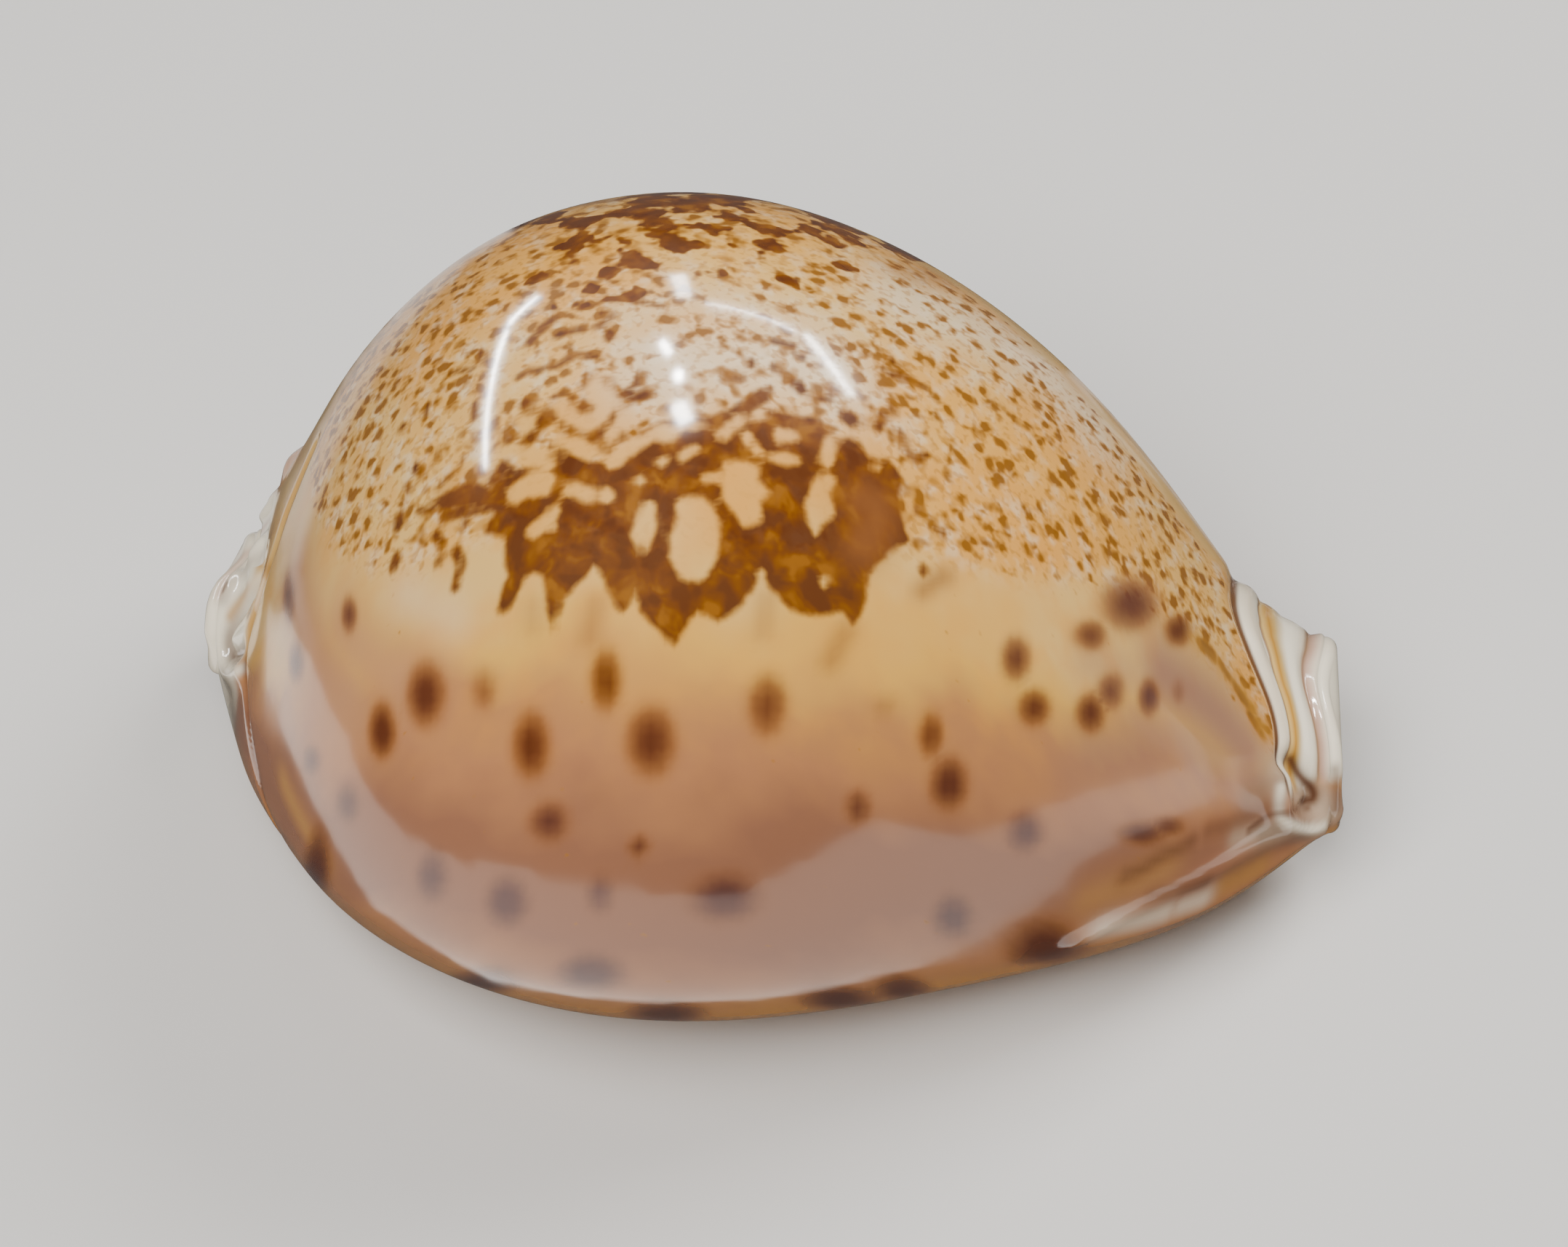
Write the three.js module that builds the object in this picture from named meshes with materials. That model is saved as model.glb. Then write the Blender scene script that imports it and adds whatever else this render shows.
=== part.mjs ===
// Prince cowrie: one grown shell, resting on its toothed base.
// Millimetres, +Z up. X runs from the spire end (-X) to the siphon end (+X),
// the outer (labral) lip is on -Y and the inner (columellar) lip on +Y.
import * as THREE from "three";

// The body is a run of C-shaped sections, each in a plane leaning through a dorsal point and a base point.
// Columns: dorsal x, dorsal z, base x, base z, centre y, labral half width, columellar half width,
//          height of the widest level (share of the section), slit centre y, slit half width.
const sections = [
  [-40.6, 12.8, -41.6, 5.0, 8.6, 5.3, 6.4, 0.46, 9.7, 1.8],
  [-39.3, 14.0, -40.8, 4.4, 7.6, 7.3, 7.9, 0.46, 8.9, 1.9],
  [-37.6, 16.4, -39.6, 3.6, 5.6, 9.2, 10.0, 0.45, 7.8, 2.1],
  [-36.3, 21.2, -38.0, 2.8, 4.2, 12.3, 13.1, 0.43, 6.0, 2.2],
  [-33.8, 26.9, -34.4, 2.0, 2.6, 16.5, 17.1, 0.41, 4.3, 2.3],
  [-30.8, 34.3, -30.8, 1.2, 1.2, 20.6, 20.9, 0.39, 2.9, 2.4],
  [-25.2, 42.2, -25.2, 0.5, 0.5, 25.4, 25.2, 0.38, 1.8, 2.5],
  [-17.6, 49.0, -17.0, 0.1, 0.1, 29.6, 28.2, 0.37, 0.9, 2.5],
  [-6.6, 52.1, -7.0, 0.0, 0.0, 31.4, 29.4, 0.36, 0.3, 2.6],
  [3.6, 50.0, 4.0, 0.0, 0.0, 29.6, 28.6, 0.36, 0.0, 2.7],
  [14.0, 44.2, 14.5, 0.1, 0.0, 25.4, 25.7, 0.36, -0.1, 2.8],
  [23.0, 35.6, 24.0, 0.7, 0.0, 21.6, 20.9, 0.37, -0.1, 2.9],
  [29.6, 26.2, 31.5, 1.7, 0.0, 17.6, 15.5, 0.39, 0.0, 3.0],
  [33.5, 20.3, 36.0, 2.8, -0.3, 13.3, 11.4, 0.41, 0.0, 3.0],
  [36.7, 17.2, 38.6, 3.7, 0.0, 10.7, 9.1, 0.42, 0.1, 3.0],
  [38.9, 15.8, 40.1, 4.5, 0.0, 9.0, 8.4, 0.43, 0.1, 3.0],
  [40.8, 14.8, 41.5, 5.1, -0.1, 7.7, 8.0, 0.44, 0.1, 3.0],
];

// Wall and lips
const baseExponent = 2.5;
const lipRadius = 1.3;
const baseThickness = 4.8;
const sideThickness = 3.7;
const dorsumThickness = 2.3;
const canalFloor = 2.5;
const canalRoof = 0.64;
const rimRadius = 0.9;
const seatLevel = 0.42;

// Teeth: the same count on both lips, half a pitch apart
const teethPerLip = 26;
const teethFrom = -35.0;
const teethTo = 35.2;
const toothHeight = 0.85;
const toothReach = 14;

// Collar at the siphon end: the line that parts it from the body, as a share of the way along,
// on the far side and on the near side of the back
const collarFar = 0.818;
const collarNear = 0.882;

// Creases and bumps: height, reach and path of each, before the shell is centred
const creases = {
  keel: [0.3, 0.8, [
    [22.8, -21.8, 11.7], [26.7, -19.8, 13.1], [32.1, -15.9, 12.7], [36.8, -11.6, 11.2], [38.9, -9.5, 9.4],
    [40.6, -8.9, 8.6],
  ]],
  hook: [0.8, 0.9, [
    [37.1, -8.6, 14.3], [37.3, -9.4, 13.3], [37.3, -10.0, 12.4], [38.1, -10.2, 11.2], [39.4, -9.2, 10.0],
    [40.8, -8.9, 9.4],
  ]],
  hookPit: [-0.9, 1.0, [[38.0, -7.2, 14.6], [38.9, -7.3, 12.8], [39.7, -7.8, 11.6], [39.2, -8.5, 11.0]]],
  fold: [0.5, 0.9, [
    [-37.8, 8.4, 16.0], [-39.8, 7.2, 13.4], [-40.9, 5.1, 11.9], [-41.0, 3.2, 10.5], [-40.3, 1.4, 9.8],
    [-39.2, -0.6, 11.2], [-38.3, -1.4, 13.0],
  ]],
  foldGroove: [-0.6, 0.8, [
    [-36.9, 4.5, 18.6], [-38.6, 3.6, 15.2], [-40.0, 3.7, 12.1], [-40.3, 2.7, 11.0], [-39.5, 1.3, 11.2],
    [-38.6, 0.2, 13.2],
  ]],
  spireLine: [-0.35, 0.6, [
    [-32.6, 6.0, 29.4], [-34.7, 3.7, 24.9], [-35.4, 1.8, 23.0], [-36.6, 0.8, 19.6], [-37.6, 0.6, 16.5],
    [-38.1, -1.0, 13.8], [-37.3, -5.6, 14.0], [-36.0, -10.2, 11.8], [-34.4, -11.8, 6.5],
  ]],
  upperNodule: [0.9, 1.7, [[-36.9, 16.2, 17.0]]],
  lowerNodule: [0.8, 1.5, [[-38.3, 14.8, 13.4]]],
  callus: [0.4, 3.6, [[-33.4, 18.0, 14.5]]],
};

// Where the section curve is sampled, in degrees from the lip (-90) over the margin (0) to the back (90)
const outerAngles = [-90, -86, -81, -75, -67, -55, -43, -32, -22, -13, -6, 0, 8, 18, 30, 44, 59, 75, 90];
const cavityAngles = [-62, -34, -6, 24, 55, 90];

function mix(a, b, share) {
  return a + (b - a) * share;
}

function smooth(x) {
  const u = Math.min(Math.max(x, 0), 1);
  return u * u * u * (u * (6 * u - 15) + 10);
}

function hump(x, centre, width) {
  return Math.exp(-(((x - centre) / width) ** 2));
}

// Uniform cubic B-spline through the section table, t from 0 (spire end) to 1 (siphon end)
function sectionAt(t) {
  const last = sections.length - 1;
  const s = Math.min(Math.max(t * last, 0), last);
  const i = Math.min(Math.floor(s), last - 1);
  const u = s - i;
  const weights = [(1 - u) ** 3, 3 * u ** 3 - 6 * u * u + 4, -3 * u ** 3 + 3 * u * u + 3 * u + 1, u ** 3];
  const row = (k, c) => {
    if (k < 0) return 2 * sections[0][c] - sections[1][c];
    if (k > last) return 2 * sections[last][c] - sections[last - 1][c];
    return sections[k][c];
  };
  const v = sections[0].map((_, c) => weights.reduce((sum, w, k) => sum + (w * row(i - 1 + k, c)) / 6, 0));
  const height = Math.hypot(v[0] - v[2], v[1] - v[3]);
  return {
    baseX: v[2],
    baseZ: v[3],
    upX: (v[0] - v[2]) / height,
    upZ: (v[1] - v[3]) / height,
    height,
    centre: v[4],
    margins: [v[4] - v[5], v[4] + v[6]],
    level: v[7] * height,
    slit: v[8],
    slitHalf: v[9],
  };
}

// Half a section from a lip, out round the margin and up to the back
function halfCurve(angle, yLip, yTop, yMargin, low, level, top) {
  const c = Math.cos(angle);
  const s = Math.sin(angle);
  const n = mix(baseExponent, 2, smooth((s + 0.85) / 0.75));
  const r = (Math.abs(c) ** n + Math.abs(s) ** n) ** (-1 / n);
  const m = smooth(s + 0.5);
  const y0 = mix(yLip, yTop, m);
  return [y0 + (yMargin - y0) * c * r, level + mix(level - low, top - level, m) * s * r];
}

// How far the inside is a wide chamber (1) and not a narrow canal (0)
function chamberShare(t) {
  return smooth((t - 0.1) / 0.2) * smooth((0.93 - t) / 0.22);
}

// One closed loop of points (y, h) round the C section, starting at the outer lip.
// kind is "outer", "lip" or "inner"; side is 0 for labral and 1 for columellar.
function loopAt(t) {
  const q = sectionAt(t);
  const open = chamberShare(t);
  const loop = [];
  const outerHalf = (side) => {
    const sign = side ? 1 : -1;
    return outerAngles.map((deg) => {
      const angle = (deg * Math.PI) / 180;
      const yLip = q.slit + sign * (q.slitHalf + lipRadius);
      const [y, h] = halfCurve(angle, yLip, q.centre, q.margins[side], 0, q.level, q.height);
      return { y, h, kind: "outer", side, deg };
    });
  };
  const floor = mix(canalFloor, baseThickness, open);
  const lipWall = (side) => {
    const sign = side ? 1 : -1;
    const edge = q.slit + sign * q.slitHalf;
    const round = [30, 60, 90].map((deg) => {
      const a = (deg * Math.PI) / 180;
      const y = edge + sign * lipRadius * (1 - Math.sin(a));
      return { y, h: lipRadius * (1 - Math.cos(a)), kind: "lip", side, deg };
    });
    return [...round, { y: edge, h: floor, kind: "inner", side, deg: -90 }];
  };
  const roof = mix(q.height * canalRoof, q.height - dorsumThickness, open);
  const innerLevel = mix(mix(floor, roof, 0.5), Math.max(q.level, floor + 3), open);
  const innerHalf = (side) => {
    const sign = side ? 1 : -1;
    const edge = q.slit + sign * q.slitHalf;
    const margin = mix(edge + sign * 0.3, q.margins[side] - sign * sideThickness, open);
    return cavityAngles.map((deg) => {
      const angle = (deg * Math.PI) / 180;
      const [y, h] = halfCurve(angle, edge, mix(q.slit, q.centre, open), margin, floor, innerLevel, roof);
      return { y, h, kind: "inner", side, deg };
    });
  };
  loop.push(...outerHalf(0), ...outerHalf(1).reverse().slice(1));
  loop.push(...lipWall(1), ...innerHalf(1));
  loop.push(...innerHalf(0).reverse().slice(1), ...lipWall(0).reverse());
  return { q, loop };
}

// The ends: the inner lip stops short at the spire end, and both lips stand out past the siphon notch
function notch(t, y, slit) {
  const spire = 1.5 * smooth((0.14 - t) / 0.14) * smooth((y - slit + 3.5) / 5);
  const siphon = 0.8 * smooth((t - 0.88) / 0.12) * hump(y, slit, 3.6);
  return spire - siphon;
}

function toPoint(q, t, p) {
  return new THREE.Vector3(q.baseX + p.h * q.upX + notch(t, p.y, q.slit), p.y, q.baseZ + p.h * q.upZ);
}

function pathDistance(at, path) {
  const corners = path.map((corner) => new THREE.Vector3(...corner));
  let nearest = at.distanceTo(corners[0]);
  for (let k = 0; k + 1 < corners.length; k += 1) {
    const piece = new THREE.Line3(corners[k], corners[k + 1]);
    nearest = Math.min(nearest, piece.closestPointToPoint(at, true, new THREE.Vector3()).distanceTo(at));
  }
  return nearest;
}

function teethRelief(t, p, baseX) {
  const teeth = smooth((baseX - teethFrom + 1) / 2) * smooth((teethTo + 1 - baseX) / 2);
  const phase = ((baseX - teethFrom) / (teethTo - teethFrom)) * teethPerLip + (p.side ? 0.5 : 0);
  const reach = p.kind === "lip" ? 1 : 1 - smooth((p.deg + 90) / toothReach);
  return -toothHeight * teeth * reach * (0.5 + 0.5 * Math.cos(2 * Math.PI * phase));
}

// Bands round the collar and ribs on the flange. The turn runs on over the back:
// -90 outer lip, 0 outer margin, 90 back, 180 inner margin, 270 inner lip.
function endBands(t, turn) {
  const line = mix(collarFar, collarNear, smooth((114 - turn) / 64));
  const c = (t - line) / (1 - line);
  let bands = 0.2 * hump(c, 0.11, 0.07) + 0.12 * hump(c, 0.31, 0.07) + 0.1 * hump(c, 0.55, 0.1);
  bands += 0.2 * hump(c, 0.95, 0.06);
  bands -= 0.36 * hump(c, 0, 0.055) + 0.12 * hump(c, 0.2, 0.03) + 0.2 * hump(c, 0.8, 0.06);
  let ribs = 0.2 * hump(t, 0.012, 0.018) + 0.15 * hump(t, 0.092, 0.014);
  ribs -= 0.25 * hump(t, 0.05, 0.02) + 0.2 * hump(t, 0.13, 0.016);
  return (bands * smooth((turn - 24) / 16) + ribs * smooth((turn - 60) / 30)) * smooth((252 - turn) / 30);
}

// Relief along the outward normal, in mm
function relief(t, p, at, baseX) {
  if (p.kind === "inner") return 0;
  let d = teethRelief(t, p, baseX);
  if (p.kind === "lip") return d;
  d += endBands(t, p.side ? 180 - p.deg : p.deg);
  if (p.side === 0) {
    // the outer margin is bevelled towards the siphon end
    const along = smooth((t - 0.56) / 0.28) * smooth((1.02 - t) / 0.06);
    d += along * (0.3 * hump(p.deg, -12, 9) - 0.4 * hump(p.deg, -34, 13));
  }
  for (const [height, reach, path] of Object.values(creases)) {
    d += height * hump(pathDistance(at, path), 0, reach);
  }
  return d;
}

// Rows of sections: one at every tooth crest and every gap, closer together on the two ends
function rowPositions() {
  const tOf = (baseX) => {
    let a = 0;
    let b = 1;
    for (let k = 0; k < 40; k += 1) {
      const mid = (a + b) / 2;
      if (sectionAt(mid).baseX < baseX) a = mid;
      else b = mid;
    }
    return a;
  };
  const first = tOf(teethFrom);
  const last = tOf(teethTo);
  const rows = [];
  for (let k = 0; k < 11; k += 1) rows.push((first * k) / 11);
  for (let k = 0; k <= 2 * teethPerLip; k += 1) {
    rows.push(tOf(mix(teethFrom, teethTo, k / (2 * teethPerLip))));
  }
  for (let k = 1; k <= 14; k += 1) rows.push(mix(last, 1, k / 14));
  return rows;
}

function shellGeometry() {
  const rows = rowPositions().map((t) => ({ t, ...loopAt(t) }));
  const count = rows[0].loop.length;
  const plain = rows.map(({ t, q, loop }) => loop.map((p) => toPoint(q, t, p)));
  const rings = rows.map(({ t, q, loop }, i) =>
    loop.map((p, j) => {
      const at = plain[i][j];
      const before = plain[Math.max(i - 1, 0)][j];
      const after = plain[Math.min(i + 1, rows.length - 1)][j];
      const along = after.clone().sub(before);
      const round = plain[i][(j + 1) % count].clone().sub(plain[i][(j + count - 1) % count]);
      const normal = along.cross(round).normalize();
      const moved = at.clone().addScaledVector(normal, relief(t, p, at, q.baseX));
      if (p.kind !== "inner") moved.z = Math.max(moved.z, seatLevel);
      return moved;
    })
  );

  // round both ends off with a small rim, then close the C with a flat face
  const rimRing = (ring, q, outward, deg) => {
    const a = (deg * Math.PI) / 180;
    const axis = new THREE.Vector3(q.upZ, 0, -q.upX).multiplyScalar(outward);
    return ring.map((at, j) => {
      const chord = ring[(j + 1) % count].clone().sub(ring[(j + count - 1) % count]);
      const inward = chord.cross(new THREE.Vector3(q.upZ, 0, -q.upX)).normalize();
      return at
        .clone()
        .addScaledVector(inward, rimRadius * (1 - Math.cos(a)))
        .addScaledVector(axis, rimRadius * Math.sin(a));
    });
  };
  const start = rows[0];
  const end = rows[rows.length - 1];
  const startRings = [85, 55, 28].map((deg) => rimRing(rings[0], start.q, -1, deg));
  const endRings = [28, 55, 85].map((deg) => rimRing(rings[rings.length - 1], end.q, 1, deg));
  const all = [...startRings, ...rings, ...endRings];

  const positions = all.flat().flatMap((v) => [v.x, v.y, v.z]);
  const index = [];
  for (let i = 0; i + 1 < all.length; i += 1) {
    for (let j = 0; j < count; j += 1) {
      const a = i * count + j;
      const b = i * count + ((j + 1) % count);
      index.push(a, a + count, b, b, a + count, b + count);
    }
  }
  const capFaces = (ring, q) => {
    const flat = ring.map((at) => {
      const up = (at.x - q.baseX) * q.upX + (at.z - q.baseZ) * q.upZ;
      return new THREE.Vector2(at.y, up);
    });
    return THREE.ShapeUtils.triangulateShape(flat, []);
  };
  const lastRing = (all.length - 1) * count;
  for (const [a, b, c] of capFaces(all[0], start.q)) index.push(a, c, b);
  for (const corners of capFaces(all[all.length - 1], end.q)) index.push(...corners.map((k) => lastRing + k));

  const geometry = new THREE.BufferGeometry();
  geometry.setAttribute("position", new THREE.Float32BufferAttribute(positions, 3));
  geometry.setIndex(index);
  geometry.computeBoundingBox();
  const box = geometry.boundingBox;
  geometry.translate(-(box.min.x + box.max.x) / 2, -(box.min.y + box.max.y) / 2, -box.min.z);
  geometry.computeVertexNormals();
  return geometry;
}

const enamel = new THREE.MeshStandardMaterial({ color: 0xc99f78, roughness: 0.12, metalness: 0 });
const shell = new THREE.Mesh(shellGeometry(), enamel);
shell.name = "shell";

const cowrie = new THREE.Group();
cowrie.add(shell);

export default cowrie;
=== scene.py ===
import math
import random
import bpy
import numpy as np
from mathutils import Matrix, Vector
from mathutils.geometry import tessellate_polygon
from mathutils.bvhtree import BVHTree


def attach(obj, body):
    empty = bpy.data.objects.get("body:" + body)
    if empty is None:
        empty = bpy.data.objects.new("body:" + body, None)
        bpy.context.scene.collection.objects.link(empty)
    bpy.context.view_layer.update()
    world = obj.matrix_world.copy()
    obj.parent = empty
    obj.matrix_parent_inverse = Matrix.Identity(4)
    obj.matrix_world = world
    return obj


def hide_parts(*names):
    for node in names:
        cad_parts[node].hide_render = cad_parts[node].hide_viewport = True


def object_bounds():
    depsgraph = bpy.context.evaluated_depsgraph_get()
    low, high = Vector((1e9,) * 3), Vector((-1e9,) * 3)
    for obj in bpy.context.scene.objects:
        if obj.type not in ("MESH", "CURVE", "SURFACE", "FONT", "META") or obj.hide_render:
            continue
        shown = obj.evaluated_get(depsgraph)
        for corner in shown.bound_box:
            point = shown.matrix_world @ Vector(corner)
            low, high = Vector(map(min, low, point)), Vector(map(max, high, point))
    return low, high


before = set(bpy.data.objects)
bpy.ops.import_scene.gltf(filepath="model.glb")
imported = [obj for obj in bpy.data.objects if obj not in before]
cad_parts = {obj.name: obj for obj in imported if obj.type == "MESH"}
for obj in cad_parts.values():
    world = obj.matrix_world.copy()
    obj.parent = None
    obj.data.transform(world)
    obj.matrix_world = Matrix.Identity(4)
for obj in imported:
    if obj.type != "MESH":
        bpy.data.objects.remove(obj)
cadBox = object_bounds()
print("frame loaded")

mm = 0.001

# the shell's form, in mm: a run of C-shaped sections from the spire end to the siphon end
# each row: back x, back z, base x, base z, centre y, outer half width, inner half width,
# height share of the widest level, slit centre y, slit half width
shellForm = {
    "sections": [
        (-40.6, 12.8, -41.6, 5.0, 8.6, 5.3, 6.4, 0.46, 9.7, 1.8),
        (-39.3, 14.0, -40.8, 4.4, 7.6, 7.3, 7.9, 0.46, 8.9, 1.9),
        (-37.6, 16.4, -39.6, 3.6, 5.6, 9.2, 10.0, 0.45, 7.8, 2.1),
        (-36.3, 21.2, -38.0, 2.8, 4.2, 12.3, 13.1, 0.43, 6.0, 2.2),
        (-33.8, 26.9, -34.4, 2.0, 2.6, 16.5, 17.1, 0.41, 4.3, 2.3),
        (-30.8, 34.3, -30.8, 1.2, 1.2, 20.6, 20.9, 0.39, 2.9, 2.4),
        (-25.2, 42.2, -25.2, 0.5, 0.5, 25.4, 25.2, 0.38, 1.8, 2.5),
        (-17.6, 49.0, -17.0, 0.1, 0.1, 29.6, 28.2, 0.37, 0.9, 2.5),
        (-6.6, 52.1, -7.0, 0.0, 0.0, 31.4, 29.4, 0.36, 0.3, 2.6),
        (3.6, 50.0, 4.0, 0.0, 0.0, 29.6, 28.6, 0.36, 0.0, 2.7),
        (14.0, 44.2, 14.5, 0.1, 0.0, 25.4, 25.7, 0.36, -0.1, 2.8),
        (23.0, 35.6, 24.0, 0.7, 0.0, 21.6, 20.9, 0.37, -0.1, 2.9),
        (29.6, 26.2, 31.5, 1.7, 0.0, 17.6, 15.5, 0.39, 0.0, 3.0),
        (33.5, 20.3, 36.0, 2.8, -0.3, 13.3, 11.4, 0.41, 0.0, 3.0),
        (36.7, 17.2, 38.6, 3.7, 0.0, 10.7, 9.1, 0.42, 0.1, 3.0),
        (38.9, 15.8, 40.1, 4.5, 0.0, 9.0, 8.4, 0.43, 0.1, 3.0),
        (40.8, 14.8, 41.5, 5.1, -0.1, 7.7, 8.0, 0.44, 0.1, 3.0),
    ],
    "baseExponent": 2.5,
    "lipRadius": 1.3,
    "baseThickness": 4.8,
    "sideThickness": 3.7,
    "dorsumThickness": 2.3,
    "canalFloor": 2.5,
    "canalRoof": 0.64,
    "rimRadius": 0.9,
    "seatLevel": 0.42,
    "teethPerLip": 26,
    "teethFrom": -35.0,
    "teethTo": 35.2,
    "toothHeight": 0.85,
    "toothReach": 14,
    # height, reach and path of each crease, in mm before the shell is centred
    "creases": {
        "keel": (0.3, 0.8, [(22.8, -21.8, 11.7), (26.7, -19.8, 13.1), (32.1, -15.9, 12.7),
                            (36.8, -11.6, 11.2), (38.9, -9.5, 9.4), (40.6, -8.9, 8.6)]),
        "hook": (0.8, 0.9, [(37.1, -8.6, 14.3), (37.3, -9.4, 13.3), (37.3, -10.0, 12.4), (38.1, -10.2, 11.2),
                            (39.4, -9.2, 10.0), (40.8, -8.9, 9.4)]),
        "hookPit": (-0.9, 1.0, [(38.0, -7.2, 14.6), (38.9, -7.3, 12.8), (39.7, -7.8, 11.6),
                                (39.2, -8.5, 11.0)]),
        "fold": (0.5, 0.9, [(-37.8, 8.4, 16.0), (-39.8, 7.2, 13.4), (-40.9, 5.1, 11.9), (-41.0, 3.2, 10.5),
                            (-40.3, 1.4, 9.8), (-39.2, -0.6, 11.2), (-38.3, -1.4, 13.0)]),
        "foldGroove": (-0.6, 0.8, [(-36.9, 4.5, 18.6), (-38.6, 3.6, 15.2), (-40.0, 3.7, 12.1),
                                   (-40.3, 2.7, 11.0), (-39.5, 1.3, 11.2), (-38.6, 0.2, 13.2)]),
        "spireLine": (-0.35, 0.6, [(-32.6, 6.0, 29.4), (-34.7, 3.7, 24.9), (-35.4, 1.8, 23.0),
                                   (-36.6, 0.8, 19.6), (-37.6, 0.6, 16.5), (-38.1, -1.0, 13.8),
                                   (-37.3, -5.6, 14.0), (-36.0, -10.2, 11.8), (-34.4, -11.8, 6.5)]),
        "upperNodule": (0.9, 1.7, [(-36.9, 16.2, 17.0)]),
        "lowerNodule": (0.8, 1.5, [(-38.3, 14.8, 13.4)]),
        "callus": (0.4, 3.6, [(-33.4, 18.0, 14.5)]),
    },
    "collarFar": 0.818,  # where the collar's dark line lies along the shell, on the far and the near side
    "collarNear": 0.882,
    # ridges and grooves: height in mm, place and width, along the collar, along the shell, and in degrees
    "collarRidges": [
        (-0.36, 0, 0.055), (0.2, 0.11, 0.07), (-0.12, 0.2, 0.03), (0.12, 0.31, 0.07), (0.1, 0.55, 0.1),
        (-0.2, 0.8, 0.06), (0.2, 0.95, 0.06),
    ],
    "flangeRidges": [(0.2, 0.012, 0.018), (-0.25, 0.05, 0.02), (0.15, 0.092, 0.014), (-0.2, 0.13, 0.016)],
    "marginBevel": [(0.3, -12, 9), (-0.4, -34, 13)],
    "endCrowding": 0.0495,  # rows closer together on both ends
    "rowsAlong": 325,
    "nearSteps": 140,
    "farSteps": 102,
    "cavitySteps": 12,
}


def mix(a, b, share):
    return a + (b - a) * share


def smooth(x):
    u = np.clip(x, 0, 1)
    return u * u * u * (u * (6 * u - 15) + 10)


def hump(x, centre, width):
    return np.exp(-(((x - centre) / width) ** 2))


# uniform cubic B-spline through the section rows, t from 0 to 1, as column vectors
def sectionAt(t):
    rows = np.array(shellForm["sections"])
    last = len(rows) - 1
    rows = np.vstack([2 * rows[0] - rows[1], rows, 2 * rows[-1] - rows[-2]])
    s = np.clip(np.asarray(t, float) * last, 0, last)
    i = np.minimum(s.astype(int), last - 1)
    u = (s - i)[:, None]
    v = ((1 - u) ** 3 * rows[i] + (3 * u ** 3 - 6 * u * u + 4) * rows[i + 1]
         + (-3 * u ** 3 + 3 * u * u + 3 * u + 1) * rows[i + 2] + u ** 3 * rows[i + 3]) / 6
    c = [v[:, k:k + 1] for k in range(10)]
    height = np.hypot(c[0] - c[2], c[1] - c[3])
    return {
        "baseX": c[2], "baseZ": c[3],
        "upX": (c[0] - c[2]) / height, "upZ": (c[1] - c[3]) / height,
        "height": height, "centre": c[4],
        "margins": (c[4] - c[5], c[4] + c[6]),
        "level": c[7] * height, "slit": c[8], "slitHalf": c[9],
    }


# half a section, from a lip out round the margin and up to the back
def halfCurve(degrees, yLip, yTop, yMargin, low, level, top):
    a = np.radians(degrees)[None]
    c, s = np.cos(a), np.sin(a)
    n = mix(shellForm["baseExponent"], 2, smooth((s + 0.85) / 0.75))
    r = (np.abs(c) ** n + np.abs(s) ** n) ** (-1 / n)
    m = smooth(s + 0.5)
    y0 = mix(yLip, yTop, m)
    return y0 + (yMargin - y0) * c * r, level + mix(level - low, top - level, m) * s * r


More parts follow.
